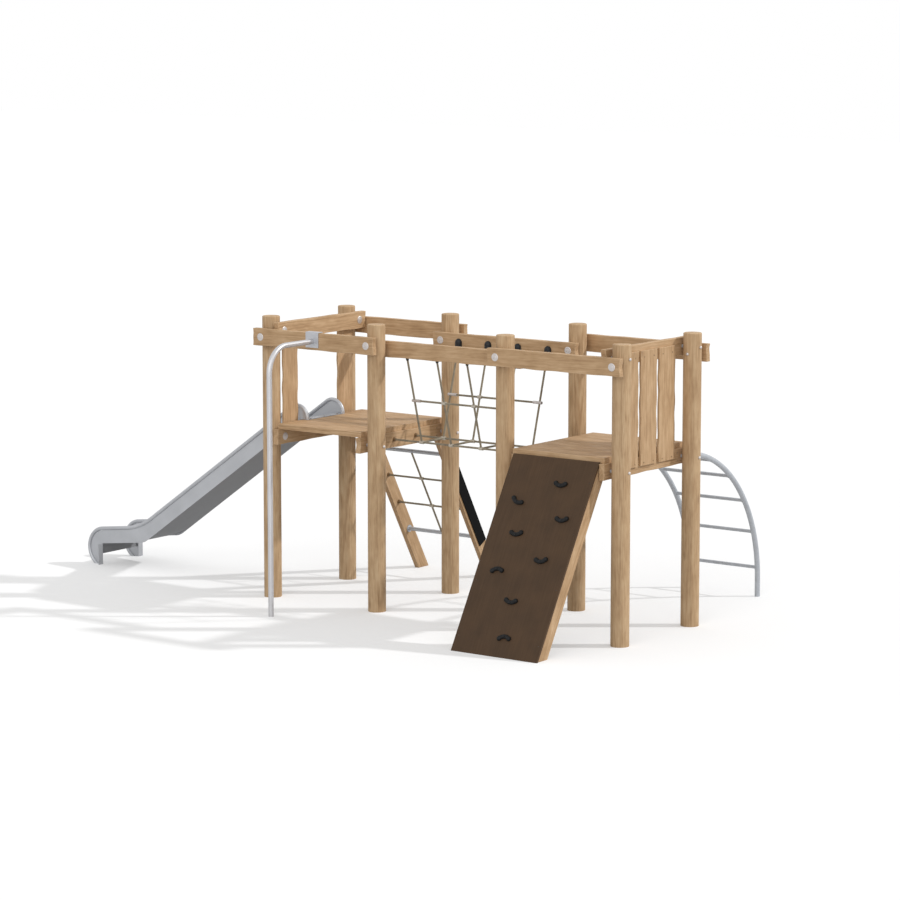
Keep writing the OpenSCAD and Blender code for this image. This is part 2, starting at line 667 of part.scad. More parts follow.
module hold_bolts() color(steel) for (h = holds) at_hold(h) {
    translate([0, 0, -panel_t - 12])
        cylinder(d = hold_bolt_d, h = hold_out + panel_t + 12 - hold_bolt_head_h);
    translate([0, 0, hold_out - hold_bolt_head_h]) difference() {
        cylinder(d = hold_bolt_head, h = hold_bolt_head_h);
        translate([0, 0, 3]) cylinder(d = 9, h = hold_bolt_head_h, $fn = 6);
    }
    translate([0, 0, -panel_t - 4]) difference() {
        cylinder(d = hold_washer, h = 4);
        translate([0, 0, -1]) cylinder(d = hold_bolt_d, h = 6);
    }
}

module wall_stringer(side) color(wood) difference() {
    on_wall() translate([side * wall_stringer_x - stringer_t / 2, panel_t, -beyond / 2])
        cube([stringer_t, wall_stringer_w, slope_len + beyond]);
    ground_block();
    translate([tower_b, header_front_y, 0]) cube([tower_len, tower_wid, 2 * post_h]);
    translate([tower_b, -beyond, bearer_top]) cube([tower_len, 2 * beyond, post_h]);
    panel_screw_spots() screw_bore(panel_screw_len);
}

// Battens run between the stringers, each midway between two holds' washers
batten_rows = [[6, 5], [2, 1]];
batten_clear = 7;
batten_h = hold_s(1) - hold_s(2) - hold_washer - 2 * batten_clear;
batten_t = 45;
module wall_battens() color(dark_wood) for (r = batten_rows) on_wall()
    translate([stringer_t / 2 - wall_stringer_x, panel_t, (hold_s(r[0]) + hold_s(r[1]) - batten_h) / 2])
        cube([2 * wall_stringer_x - stringer_t, batten_t, batten_h]);

// Rope net. Local Z runs up the slope, and local Y points out of the slope's upper side.
module on_net() translate([mid_a, tower_wid + net_foot, 0]) rotate([lean, 0, 0]) children();
net_mid = -net_stringer_w / 2;
function net_s(z) = (z - net_mid * sin(lean)) / cos(lean);
net_levels = [for (n = [0:3]) net_s(net_top_z - n * net_step)];
net_w = inner_w - stringer_t - 2 * net_gap;
net_half = net_w / 2 - stringer_t / 2;
peg_d = rope_d * 0.6;
peg_in = 25;

module net_stringer(side) color(wood) difference() {
    on_net() translate([side * net_w / 2 - stringer_t / 2, -net_stringer_w, -beyond / 2])
        cube([stringer_t, net_stringer_w, slope_len + beyond]);
    ground_block();
    cube([tower_len, header_back_y, 2 * post_h]);
    translate([0, 0, bearer_top]) cube([tower_len, 2 * tower_wid, post_h]);
    on_net() for (s = net_levels) translate([-net_w, net_mid, s]) rotate([0, 90, 0])
        cylinder(d = peg_d + play, h = 2 * net_w);
}

// Tube between the stringers, with a round flange at each end and a peg into each stringer
flange_d = 60;
flange_t = 6;
module net_tubes() color(grey_steel) on_net() for (s = [net_levels[0], net_levels[3]])
    translate([0, net_mid, s]) rotate([0, 90, 0]) {
        translate([0, 0, -net_half]) cylinder(d = net_tube_d, h = 2 * net_half);
        for (e = [-1, 1]) {
            translate([0, 0, e * (net_half - flange_t / 2) - flange_t / 2])
                cylinder(d = flange_d, h = flange_t);
            translate([0, 0, e * (net_half + peg_in / 2) - peg_in / 2])
                cylinder(d = peg_d, h = peg_in);
        }
    }

sleeve_d = rope_d + 11;
sleeve_len = 36;
module net_ropes() color(rope_colour) on_net() {
    for (n = [1, 2]) translate([0, net_mid, net_levels[n]]) rotate([0, 90, 0]) {
        translate([0, 0, -net_half]) cylinder(d = rope_d, h = 2 * net_half);
        for (e = [-1, 1]) translate([0, 0, e * (net_half + peg_in / 2) - peg_in / 2])
            cylinder(d = peg_d, h = peg_in);
    }
    for (n = [0:2]) {
        top = net_levels[n] - (n == 0 ? net_tube_d : sleeve_d) / 2 - skin;
        low = net_levels[n + 1] + (n == 2 ? net_tube_d : sleeve_d) / 2 + skin;
        translate([0, net_mid, low]) cylinder(d = rope_d, h = top - low);
    }
}

// Covers over the rope and tube fixings, on the stringers' outer faces
cover_low = 325;
cover_high = 1180;
module net_covers() color(black) on_net() for (e = [-1, 1])
    translate([e * (net_w / 2 + stringer_t / 2 + cover_t / 2) - cover_t / 2, -cover_w, cover_low / cos(lean)])
        cube([cover_t, cover_w, (cover_high - cover_low) / cos(lean)]);

// Arched ladder
arch_w = inner_w - 2 * arch_in;
arch_c = [tower_wid + arch_start, arch_top - arch_r];
arch_plate = [70, 6, 110];
arch_plate_z = bearer_z - arch_plate.z / 2;
arch_screw_len = 46;
arch_screw_up = 12;
function arch_point(a) = [arch_c.x + arch_r * cos(a), arch_c.y + arch_r * sin(a)];
module arch_screw_pair(side) {
    for (e = [-1, 1])
        translate([mid_b + side * arch_w / 2 + e * arch_plate.x / 3, header_back_y, bearer_z + arch_screw_up])
            translate([0, arch_plate.y, 0]) rotate([-90, 0, 0]) children();
}

module arch_rail(side) color(grey_steel) difference() {
    arch_tube(side);
    arch_screw_pair(side) screw_bore(arch_screw_len);
}

module arch_tube(side) translate([mid_b + side * arch_w / 2, 0, 0]) {
    rod([0, header_back_y + arch_plate.y, arch_top], [0, arch_c.x, arch_top], arch_d, tube_wall);
    rotate([0, 0, 90]) bend([arch_c.x, 0, arch_c.y], arch_r, 0, 90, arch_d, tube_wall);
    rod([0, arch_c.x + arch_r, 0], [0, arch_c.x + arch_r, arch_c.y], arch_d, tube_wall);
    translate([-arch_plate.x / 2, header_back_y, arch_plate_z]) cube(arch_plate);
}

module arch_rungs() color(grey_steel) for (n = [0:rung_count - 1]) {
    a = rung_first + n * rung_step;
    p = arch_point(a);
    translate([mid_b, p.x, p.y]) difference() {
        rotate([0, 90, 0]) translate([0, 0, -arch_w / 2]) cylinder(d = rung_d, h = arch_w);
        rotate([0, 90, 0]) translate([0, 0, -arch_w]) cylinder(d = rung_d - 2 * tube_wall, h = 2 * arch_w);
        for (e = [-1, 1]) translate([e * arch_w / 2, 0, 0]) rotate([a, 0, 0])
            translate([0, 0, -rung_d]) cylinder(d = arch_d + 2 * skin, h = 2 * rung_d);
    }
}

// Rope bridge. Each side's hanging ropes lean in from the beam to a floor rope.
bridge_mid = tower_len + bridge_len / 2;
function hanger_x(n) = bridge_mid + (n - (hanger_count - 1) / 2) * hanger_pitch;
function side_y(side, off) = mid_y + side * off;
beam_half = mid_y - face_out;
neck_out = 22;
socket_body = 56;
socket_z = beam_z - 6;
neck_low = socket_z - socket_drop;
neck_half = beam_half - neck_out;
hand_z = floor_z + hand_share * (neck_low - floor_z);
hang_slope = (neck_half - floor_w / 2) / (neck_low - floor_z);
function hang_half(z) = floor_w / 2 + (z - floor_z) * hang_slope;
function hang_point(n, side, z) = [hanger_x(n), side_y(side, hang_half(z)), z];
hang_cos = 1 / sqrt(1 + hang_slope * hang_slope);
function is_end(n) = n == 0 || n == hanger_count - 1;
rope_stop = (sleeve_d / 2 + skin) * hang_cos;
tee_d = 24;
tee_short = 20;
tee_long = 60;

module bridge_hangers() color(rope_colour) for (n = [0:hanger_count - 1], side = [-1, 1]) {
    low = floor_z + rope_stop;
    if (is_end(n)) rod(hang_point(n, side, low), hang_point(n, side, neck_low), rope_d);
    else {
        rod(hang_point(n, side, low), hang_point(n, side, hand_z - rope_stop), rope_d);
        rod(hang_point(n, side, hand_z + rope_stop), hang_point(n, side, neck_low), rope_d);
    }
}

hand_in = rope_d / 2 + skin;
module bridge_hand_ropes() color(rope_colour) for (side = [-1, 1])
    rod(hang_point(0, side, hand_z) + [hand_in, 0, 0],
        hang_point(hanger_count - 1, side, hand_z) - [hand_in, 0, 0], rope_d);

floor_from = tower_len - face_in;
floor_to = tower_b + face_in;
module bridge_floor_ropes() color(rope_colour) for (y = [side_y(-1, floor_w / 2), side_y(1, floor_w / 2)])
    rod([floor_from, y, floor_z], [floor_to, y, floor_z], rope_d);

module bridge_cross_ropes() color(rope_colour) for (n = [0:hanger_count - 1])
    rod([hanger_x(n), mid_y - floor_w / 2 + sleeve_d / 2 + skin, floor_z],
        [hanger_x(n), mid_y + floor_w / 2 - sleeve_d / 2 - skin, floor_z], rope_d);

// Sockets: a thimble on the beam's inner face, with a tapered neck along the rope
module rope_sockets() color(black) for (n = [0:hanger_count - 1], side = [-1, 1]) difference() {
    union() {
        translate([hanger_x(n), side_y(side, beam_half), socket_z]) rotate_extrude() {
            intersection() {
                circle(d = socket_d);
                square(socket_d);
            }
            translate([0, -socket_body]) square([socket_d / 2, socket_body]);
        }
        top = hang_point(n, side, socket_z - 20);
        low = hang_point(n, side, neck_low);
        v = low - top;
        translate(top) rotate([0, acos(v.z / norm(v)), atan2(v.y, v.x)])
            cylinder(d1 = socket_d * 0.45, d2 = rope_d + 7, h = norm(v));
    }
    translate([hanger_x(n) - socket_d, side > 0 ? mid_y + beam_half : mid_y - beam_half - 2 * socket_d,
               socket_z - 2 * socket_d]) cube([2 * socket_d, 2 * socket_d, 4 * socket_d]);
}

// Sleeve along X round a rope
module sleeve(p, d, from, to) translate(p) rotate([0, 90, 0]) translate([0, 0, from]) difference() {
    cylinder(d = d, h = to - from);
    translate([0, 0, -1]) cylinder(d = rope_d + play, h = to - from + 2);
}

module rope_sleeves() color(steel) {
    for (n = [0:hanger_count - 1], side = [-1, 1]) {
        sleeve(hang_point(n, side, floor_z), sleeve_d, -sleeve_len / 2, sleeve_len / 2);
        if (!is_end(n)) sleeve(hang_point(n, side, hand_z), sleeve_d, -sleeve_len / 2, sleeve_len / 2);
    }
    on_net() for (n = [1, 2]) sleeve([0, net_mid, net_levels[n]], sleeve_d, -sleeve_len / 2, sleeve_len / 2);
}

// Tee ferrules join the ends of the hand ropes to the outer hanging ropes
module tee_ferrules() color(steel) for (n = [0, hanger_count - 1], side = [-1, 1]) difference() {
    sleeve(hang_point(n, side, hand_z), tee_d,
           n == 0 ? -tee_short : -tee_long, n == 0 ? tee_long : tee_short);
    rod(hang_point(n, side, hand_z - 3 * tee_d), hang_point(n, side, hand_z + 3 * tee_d), rope_d + 2 * play);
}

// Anchors: a round plate with a collar, at both ends of each floor rope and of each rope rung
anchor_d = 36;
anchor_t = 4;
collar_len = 16;
module anchor() difference() {
    union() {
        cylinder(d = anchor_d, h = anchor_t);
        cylinder(d = sleeve_d, h = collar_len);
    }
    translate([0, 0, -1]) cylinder(d = rope_d + play, h = collar_len + 2);
}

module rope_anchors() color(steel) {
    for (side = [-1, 1]) {
        translate([floor_from, side_y(side, floor_w / 2), floor_z]) rotate([0, 90, 0]) anchor();
        translate([floor_to, side_y(side, floor_w / 2), floor_z]) rotate([0, -90, 0]) anchor();
    }
    for (n = [1, 2], e = [-1, 1]) on_net() translate([e * net_half, net_mid, net_levels[n]])
        rotate([0, -90 * e, 0]) anchor();
}

// Through bolts with domed caps, nuts and spacers
cap_h = 6;
cap_rim = 3;
cap_r = (pow(cap_d / 2, 2) + pow(cap_h - cap_rim, 2)) / (2 * (cap_h - cap_rim));
nut_h = 12;
nut_skirt = 4;
module frame_bolts() color(steel) for (j = bolted) at_bolt(j) {
    translate([0, 0, -post_d / 2 - nut_skirt]) cylinder(d = bolt_d, h = post_d / 2 + nut_skirt + face_out);
    translate([0, 0, face_out]) intersection() {
        cylinder(d = cap_d, h = cap_h);
        translate([0, 0, cap_h - cap_r]) sphere(cap_r, $fn = 96);
    }
}

// Dome nuts on the far side of the posts
nut_r = (pow(nut_d / 2, 2) + pow(nut_h - nut_skirt, 2)) / (2 * (nut_h - nut_skirt));
module frame_nuts() color(steel) for (j = bolted)
    at_bolt(j) rotate([180, 0, 0]) translate([0, 0, post_d / 2]) difference() {
        intersection() {
            cylinder(d = nut_d, h = nut_h);
            translate([0, 0, nut_h - nut_r]) sphere(nut_r);
        }
        translate([0, 0, -1]) cylinder(d = bolt_d + play / 2, h = nut_skirt + 1 + play);
    }

module frame_spacers() color(grey_steel) for (j = bolted) at_bolt(j) difference() {
    translate([0, 0, post_d / 2 - spacer_d / 4]) cylinder(d = spacer_d, h = standoff + spacer_d / 4);
    cylinder(d = bolt_d + play / 2, h = face_out);
    rotate([0, 90, 0]) translate([0, 0, -spacer_d]) cylinder(d = post_d + 2 * skin, h = 2 * spacer_d);
}

module wood_screws() color(steel) {
    for (r = deck_rows) deck_screw_row(r[1]) screw(deck_screw_len);
    for (r = board_rows) board_screw_row(r) screw(board_screw_len);
    for (r = lag_rows) lag_pair(r) screw(lag_len);
    panel_screw_spots() screw(panel_screw_len);
    lip_screw_spots() screw(lip_screw_len);
    bracket_screw_spots() screw(bracket_screw_len);
    for (e = [-1, 1]) arch_screw_pair(e) screw(arch_screw_len);
}

for (i = [0:7]) post(i);
for (k = [0:len(planks) - 1]) plank(k);
for (k = [0:2]) header(k);
deck(deck_a_x, [0, 1]);  // deck_a
deck(deck_b_x, [2, 3]);  // deck_b
slide_boards();
wall_boards();
fire_pole();
pole_bracket();
slide_bed();
cheek(near_y, -1);  // slide_cheek_near
cheek(far_y, 1);  // slide_cheek_far
rim(near_y);  // slide_rim_near
rim(far_y);  // slide_rim_far
climbing_panel();
wall_stringer(-1);  // wall_stringer_left
wall_stringer(1);  // wall_stringer_right
wall_battens();
climbing_holds();
hold_bolts();
net_stringer(-1);  // net_stringer_left
net_stringer(1);  // net_stringer_right
net_tubes();
net_ropes();
net_covers();
arch_rail(-1);  // arch_rail_left
arch_rail(1);  // arch_rail_right
arch_rungs();
bridge_hangers();
bridge_hand_ropes();
bridge_floor_ropes();
bridge_cross_ropes();
rope_sockets();
rope_sleeves();
tee_ferrules();
rope_anchors();
frame_bolts();
frame_nuts();
frame_spacers();
wood_screws();
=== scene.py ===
"""Looks of the wooden climbing frame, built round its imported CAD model. Metres, Z up."""
import math
import random

import bmesh
import bpy
import numpy as np
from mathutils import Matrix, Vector


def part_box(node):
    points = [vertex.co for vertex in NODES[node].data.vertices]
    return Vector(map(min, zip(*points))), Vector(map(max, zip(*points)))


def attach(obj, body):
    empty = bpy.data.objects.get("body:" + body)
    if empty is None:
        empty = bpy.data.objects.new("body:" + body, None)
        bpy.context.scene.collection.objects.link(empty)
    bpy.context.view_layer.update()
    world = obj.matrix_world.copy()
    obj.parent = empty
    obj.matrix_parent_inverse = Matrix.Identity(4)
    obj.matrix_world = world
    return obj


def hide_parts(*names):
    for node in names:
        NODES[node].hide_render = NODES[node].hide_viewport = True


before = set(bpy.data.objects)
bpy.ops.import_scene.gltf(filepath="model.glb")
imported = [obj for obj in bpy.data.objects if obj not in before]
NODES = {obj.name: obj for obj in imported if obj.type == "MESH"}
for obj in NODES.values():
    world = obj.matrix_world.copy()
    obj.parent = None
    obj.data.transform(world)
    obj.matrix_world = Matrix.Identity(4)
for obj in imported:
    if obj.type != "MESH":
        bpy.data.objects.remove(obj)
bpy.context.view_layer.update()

MM = 0.001
TURN = 2 * math.pi
ALONG_X = Vector((1, 0, 0))
ALONG_Y = Vector((0, 1, 0))
UPRIGHT = Vector((0, 0, 1))
LEAN = math.radians(30)
UP_WALL = Vector((0, math.sin(LEAN), math.cos(LEAN)))
UP_NET = Vector((0, -math.sin(LEAN), math.cos(LEAN)))


# Materials

def linear(code):
    """Linear colour of an sRGB hex value."""
    parts = [int(code[i:i + 2], 16) / 255 for i in (1, 3, 5)]
    return (*[c / 12.92 if c <= 0.04045 else ((c + 0.055) / 1.055) ** 2.4 for c in parts], 1.0)


def add(tree, kind, inputs=None, **settings):
    """Adds a node with its settings, and sets or links its inputs."""
    made = tree.nodes.new(kind)
    for name, value in settings.items():
        setattr(made, name, value)
    for key, value in (inputs or {}).items():
        if isinstance(value, bpy.types.NodeSocket):
            tree.links.new(value, made.inputs[key])
        else:
            made.inputs[key].default_value = value
    return made


def finish(name, **constants):
    """A new material, its node tree and its shader with constant values set on the shader."""
    made = bpy.data.materials.new(name)
    made.use_nodes = True
    shader = made.node_tree.nodes["Principled BSDF"]
    for socket, value in constants.items():
        shader.inputs[socket.replace("_", " ")].default_value = value
    return made, made.node_tree, shader


def connect(tree, shader, **patterns):
    """Links the patterns of a material to its shader."""
    for socket, pattern in patterns.items():
        tree.links.new(pattern, shader.inputs[socket.replace("_", " ")])


def peeled_oak(name, pale, middle, brown):
    """Oak, peeled or sawn and sanded: long streaks and fibres along the grain, rings across it.
    The grain attribute gives each piece its own place in a log, with the grain along its first axis."""
    streak_size = (240 * MM, 13 * MM, 13 * MM)
    blotch_size = (170 * MM, 55 * MM, 55 * MM)
    knot_size = (210 * MM, 80 * MM, 80 * MM)
    # Fibres and rings are drawn about three times coarser than real ones, to show from a distance
    fibre_size = (50 * MM, 3.5 * MM, 3.5 * MM)
    ring_gap = 7 * MM
    bends_per_metre = (2.5, 9, 9)
    bend_depth = (0, 16 * MM, 16 * MM)
    knot_brown = linear("#7d5f43")
    worn_pale = linear("#d8c19f")
    made, tree, shader = finish(name, IOR=1.5, Specular_IOR_Level=0.35)
    log = add(tree, "ShaderNodeAttribute", attribute_name="grain").outputs["Vector"]
    worn = add(tree, "ShaderNodeAttribute", attribute_name="worn").outputs["Fac"]

    bend_at = add(tree, "ShaderNodeMapping", {"Vector": log, "Scale": bends_per_metre})
    bend = add(tree, "ShaderNodeTexNoise", {"Vector": bend_at.outputs[0], "Scale": 1.0, "Detail": 2.0})
    drift = add(tree, "ShaderNodeVectorMath", {0: bend.outputs["Color"], 1: bend_depth, 2: log},
                operation="MULTIPLY_ADD").outputs[0]

    fields = []
    for size, detail in ((streak_size, 4.0), (blotch_size, 2.0), (fibre_size, 3.0)):
        spread = add(tree, "ShaderNodeMapping", {"Vector": drift, "Scale": [1 / s for s in size]})
        fields.append(add(tree, "ShaderNodeTexNoise", {
            "Vector": spread.outputs[0], "Scale": 1.0, "Detail": detail, "Roughness": 0.6}).outputs[0])
    streak, blotch, fibre = fields

    across = add(tree, "ShaderNodeVectorMath", {0: drift, 1: (0, 1, 1)}, operation="MULTIPLY")
    reach = add(tree, "ShaderNodeVectorMath", {0: across.outputs[0]}, operation="LENGTH")
    turns = add(tree, "ShaderNodeMath", {0: reach.outputs["Value"], 1: TURN / ring_gap},
                operation="MULTIPLY")
    swing = add(tree, "ShaderNodeMath", {0: turns.outputs[0]}, operation="SINE")
    ring = add(tree, "ShaderNodeMapRange", {
        "Value": swing.outputs[0], "From Min": -0.6, "From Max": 1.0}).outputs[0]

    # Each pattern darkens the wood by its own share
    tone = -0.12
    for field, share in ((streak, 0.55), (blotch, 0.49), (ring, 0.12), (fibre, 0.2)):
        tone = add(tree, "ShaderNodeMath", {0: field, 1: share, 2: tone},
                   operation="MULTIPLY_ADD").outputs[0]
    colour = add(tree, "ShaderNodeValToRGB", {"Fac": tone})
    stops = colour.color_ramp.elements
    stops[0].position, stops[0].color = 0.34, linear(pale)
    stops[1].position, stops[1].color = 0.82, linear(brown)
    stops.new(0.55).color = linear(middle)

    # Knots sit in the hearts of some cells, and cover just under half of the tone there
    cells_at = add(tree, "ShaderNodeMapping", {"Vector": drift, "Scale": [1 / s for s in knot_size]})
    cells = add(tree, "ShaderNodeTexVoronoi", {"Vector": cells_at.outputs[0], "Scale": 1.0})
    heart = add(tree, "ShaderNodeMapRange", {
        "Value": cells.outputs["Distance"], "From Min": 0.24, "From Max": 0.06})
    chosen = add(tree, "ShaderNodeMath", {0: cells.outputs["Color"], 1: 0.72}, operation="GREATER_THAN")
    knot = add(tree, "ShaderNodeMath", {0: heart.outputs[0], 1: chosen.outputs[0]}, operation="MULTIPLY")
    knot_share = add(tree, "ShaderNodeMath", {0: knot.outputs[0], 1: 0.45}, operation="MULTIPLY")
    knotted = add(tree, "ShaderNodeMix", {
        "Factor": knot_share.outputs[0], "A": colour.outputs[0], "B": knot_brown}, data_type="RGBA")
    wear = add(tree, "ShaderNodeMath", {0: worn, 1: 0.25}, operation="MULTIPLY")
    edged = add(tree, "ShaderNodeMix", {
        "Factor": wear.outputs[0], "A": knotted.outputs["Result"], "B": worn_pale}, data_type="RGBA")

    dull = add(tree, "ShaderNodeMapRange", {
        "Value": streak, "From Min": 0.3, "From Max": 0.7, "To Min": 0.58, "To Max": 0.76})
    relief = add(tree, "ShaderNodeMath", {0: ring, 1: 0.35, 2: fibre}, operation="MULTIPLY_ADD")
    bump = add(tree, "ShaderNodeBump", {
        "Height": relief.outputs[0], "Strength": 0.35, "Distance": 0.5 * MM})
    connect(tree, shader, Base_Color=edged.outputs["Result"], Roughness=dull.outputs[0],
            Normal=bump.outputs[0])
    return made


def ground_steel(name, pale, dark, metallic, smooth, rough, grind, depth):
    """Stainless steel, satin ground: fine lines along the piece, which stretch its highlights."""
    # Lines are drawn far coarser than the real grind of about 0.1 mm, which would only flicker
    line_size = (400 * MM, 3 * MM, 3 * MM)
    smear_size = 180 * MM
    made, tree, shader = finish(name, Metallic=metallic)
    spot = add(tree, "ShaderNodeTexCoord").outputs["Object"]
    turned = add(tree, "ShaderNodeMapping", {
        "Vector": spot, "Rotation": grind, "Scale": line_size}, vector_type="TEXTURE")
    lines = add(tree, "ShaderNodeTexNoise", {
        "Vector": turned.outputs[0], "Scale": 1.0, "Detail": 3.0}).outputs[0]
    smears = add(tree, "ShaderNodeTexNoise", {
        "Vector": spot, "Scale": 1 / smear_size, "Detail": 3.0}).outputs[0]
    mixed = add(tree, "ShaderNodeMath", {0: lines, 1: 0.5, 2: smears}, operation="MULTIPLY_ADD")
    share = add(tree, "ShaderNodeMapRange", {
        "Value": mixed.outputs[0], "From Min": 0.45, "From Max": 1.05})
    colour = add(tree, "ShaderNodeMix", {
        "Factor": share.outputs[0], "A": linear(dark), "B": linear(pale)}, data_type="RGBA")
    gloss = add(tree, "ShaderNodeMapRange", {
        "Value": mixed.outputs[0], "From Min": 0.45, "From Max": 1.05, "To Min": smooth, "To Max": rough})
    bump = add(tree, "ShaderNodeBump", {"Height": lines, "Strength": depth, "Distance": 0.15 * MM})
    connect(tree, shader, Base_Color=colour.outputs["Result"], Roughness=gloss.outputs[0],
            Normal=bump.outputs[0])
    return made


def plated(name, pale, dark, crystal, metallic):
    """Plated or coated metal: crystals of the coating, each a little lighter or duller than the next."""
    made, tree, shader = finish(name, Metallic=metallic)
    spot = add(tree, "ShaderNodeTexCoord").outputs["Object"]
    crystals = add(tree, "ShaderNodeTexVoronoi", {"Vector": spot, "Scale": 1 / crystal})
    haze = add(tree, "ShaderNodeTexNoise", {"Vector": spot, "Scale": 0.3 / crystal, "Detail": 4.0})
    share = add(tree, "ShaderNodeMath", {0: crystals.outputs["Color"], 1: 0.55, 2: haze.outputs[0]},
                operation="MULTIPLY_ADD")
    level = add(tree, "ShaderNodeMapRange", {
        "Value": share.outputs[0], "From Min": 0.4, "From Max": 1.1})
    colour = add(tree, "ShaderNodeMix", {
        "Factor": level.outputs[0], "A": linear(dark), "B": linear(pale)}, data_type="RGBA")
    gloss = add(tree, "ShaderNodeMapRange", {
        "Value": share.outputs[0], "From Min": 0.4, "From Max": 1.1, "To Min": 0.5, "To Max": 0.34})
    bump = add(tree, "ShaderNodeBump", {"Height": haze.outputs[0], "Strength": 0.1, "Distance": 0.3 * MM})
    connect(tree, shader, Base_Color=colour.outputs["Result"], Roughness=gloss.outputs[0],
            Normal=bump.outputs[0])
    return made


def moulded(name, pale, dark, grit, relief, smooth, rough, shine):
    """Moulded plastic, resin or rubber: a fine grit in the surface, and a haze of handling."""
    made, tree, shader = finish(name, IOR=1.5, Specular_IOR_Level=shine)
    spot = add(tree, "ShaderNodeTexCoord").outputs["Object"]
    grains = add(tree, "ShaderNodeTexNoise", {
        "Vector": spot, "Scale": 1 / grit, "Detail": 2.0}).outputs[0]
    haze = add(tree, "ShaderNodeTexNoise", {
        "Vector": spot, "Scale": 0.05 / grit, "Detail": 4.0}).outputs[0]
    level = add(tree, "ShaderNodeMath", {0: grains, 1: 0.5, 2: haze}, operation="MULTIPLY_ADD")
    share = add(tree, "ShaderNodeMapRange", {
        "Value": level.outputs[0], "From Min": 0.5, "From Max": 1.0})
    colour = add(tree, "ShaderNodeMix", {
        "Factor": share.outputs[0], "A": linear(dark), "B": linear(pale)}, data_type="RGBA")
    gloss = add(tree, "ShaderNodeMapRange", {
        "Value": haze, "From Min": 0.3, "From Max": 0.7, "To Min": smooth, "To Max": rough})
    bump = add(tree, "ShaderNodeBump", {"Height": grains, "Strength": 0.3, "Distance": relief})
    connect(tree, shader, Base_Color=colour.outputs["Result"], Roughness=gloss.outputs[0],
            Normal=bump.outputs[0])
    return made


def film_faced_ply(name):
    """Birch ply with a brown phenolic film: almost plain, with a faint grain under the film and scuffs."""
    grain_size = (9 * MM, 260 * MM, 260 * MM)
    scuffs_per_metre = 6.0
    dark, pale, worn_edge = linear("#42301f"), linear("#513d2b"), linear("#6b5540")
    made, tree, shader = finish(name, IOR=1.5, Specular_IOR_Level=0.25)
    spot = add(tree, "ShaderNodeTexCoord").outputs["Object"]
    worn = add(tree, "ShaderNodeAttribute", attribute_name="worn").outputs["Fac"]
    turned = add(tree, "ShaderNodeMapping", {"Vector": spot, "Scale": [1 / s for s in grain_size]})
    grain = add(tree, "ShaderNodeTexNoise", {
        "Vector": turned.outputs[0], "Scale": 1.0, "Detail": 3.0}).outputs[0]
    scuff = add(tree, "ShaderNodeTexNoise", {
        "Vector": spot, "Scale": scuffs_per_metre, "Detail": 6.0}).outputs[0]
    level = add(tree, "ShaderNodeMath", {0: grain, 1: 0.5, 2: scuff}, operation="MULTIPLY_ADD")
    colour = add(tree, "ShaderNodeValToRGB", {"Fac": level.outputs[0]})
    stops = colour.color_ramp.elements
    stops[0].position, stops[0].color = 0.5, dark
    stops[1].position, stops[1].color = 1.0, pale
    wear = add(tree, "ShaderNodeMath", {0: worn, 1: 0.35}, operation="MULTIPLY")
    edged = add(tree, "ShaderNodeMix", {
        "Factor": wear.outputs[0], "A": colour.outputs[0], "B": worn_edge}, data_type="RGBA")
    gloss = add(tree, "ShaderNodeMapRange", {
        "Value": scuff, "From Min": 0.3, "From Max": 0.7, "To Min": 0.55, "To Max": 0.7})
    bump = add(tree, "ShaderNodeBump", {"Height": grain, "Strength": 0.12, "Distance": 0.2 * MM})
    connect(tree, shader, Base_Color=edged.outputs["Result"], Roughness=gloss.outputs[0],
            Normal=bump.outputs[0])
    return made


def laid_rope(name):
    """Polyester laid over a steel core: matt, with yarns that catch the light a little."""
    yarn_size = 2.2 * MM
    fade_size = 60 * MM
    dark, pale = linear("#776e60"), linear("#a0957f")
    made, tree, shader = finish(name, IOR=1.5, Roughness=0.82)
    spot = add(tree, "ShaderNodeTexCoord").outputs["Object"]
    yarns = add(tree, "ShaderNodeTexNoise", {
        "Vector": spot, "Scale": 1 / yarn_size, "Detail": 2.0}).outputs[0]
    fade = add(tree, "ShaderNodeTexNoise", {
        "Vector": spot, "Scale": 1 / fade_size, "Detail": 2.0}).outputs[0]
    level = add(tree, "ShaderNodeMath", {0: yarns, 1: 0.6, 2: fade}, operation="MULTIPLY_ADD")
    share = add(tree, "ShaderNodeMapRange", {
        "Value": level.outputs[0], "From Min": 0.5, "From Max": 1.1})
    colour = add(tree, "ShaderNodeMix", {
        "Factor": share.outputs[0], "A": dark, "B": pale}, data_type="RGBA")
    bump = add(tree, "ShaderNodeBump", {"Height": yarns, "Strength": 0.5, "Distance": 0.4 * MM})
    connect(tree, shader, Base_Color=colour.outputs["Result"], Normal=bump.outputs[0])
    return made


# Ways in which steel is ground: down the slide's main run, along an upright tube, and level
DOWN_SLIDE = (0, -math.radians(35), 0)
UP_TUBE = (0, math.pi / 2, 0)
LEVEL = (0, 0, 0)

# Oiled oak planks: a warm light brown, paler on their worn edges
oak = peeled_oak("sanded_oak_planks", "#caab87", "#b69570", "#92714f")
# Peeled round poles show their outer wood: like the planks, a touch paler and yellower, and paler again as
# painted light that makes up for the shade the decks cast on the posts
post_oak_painted_light = peeled_oak("peeled_oak_posts_painted_light", "#caaf8b", "#b99a76", "#937452")
# Oak for the headers and battens behind the planks: duller and darker than the planks
inner_oak = peeled_oak("darker_oak_inside", "#b39470", "#a08161", "#80644a")
# Satin sheet: a soft grey with long faint lines down the slope
slide_steel = ground_steel("satin_stainless_slide", "#bbbdc1", "#abadb1", metallic=0.55,
                           smooth=0.4, rough=0.52, grind=DOWN_SLIDE, depth=0.1)
# Unground back of the sheet: flat, with no highlight, and darker than the sheet as painted shade on the
# faces that look down
mill_steel_painted_shade = ground_steel("mill_finish_underside_painted_shade", "#8d8e91", "#808184", metallic=0.0,
                          smooth=0.6, rough=0.7, grind=DOWN_SLIDE, depth=0.05)
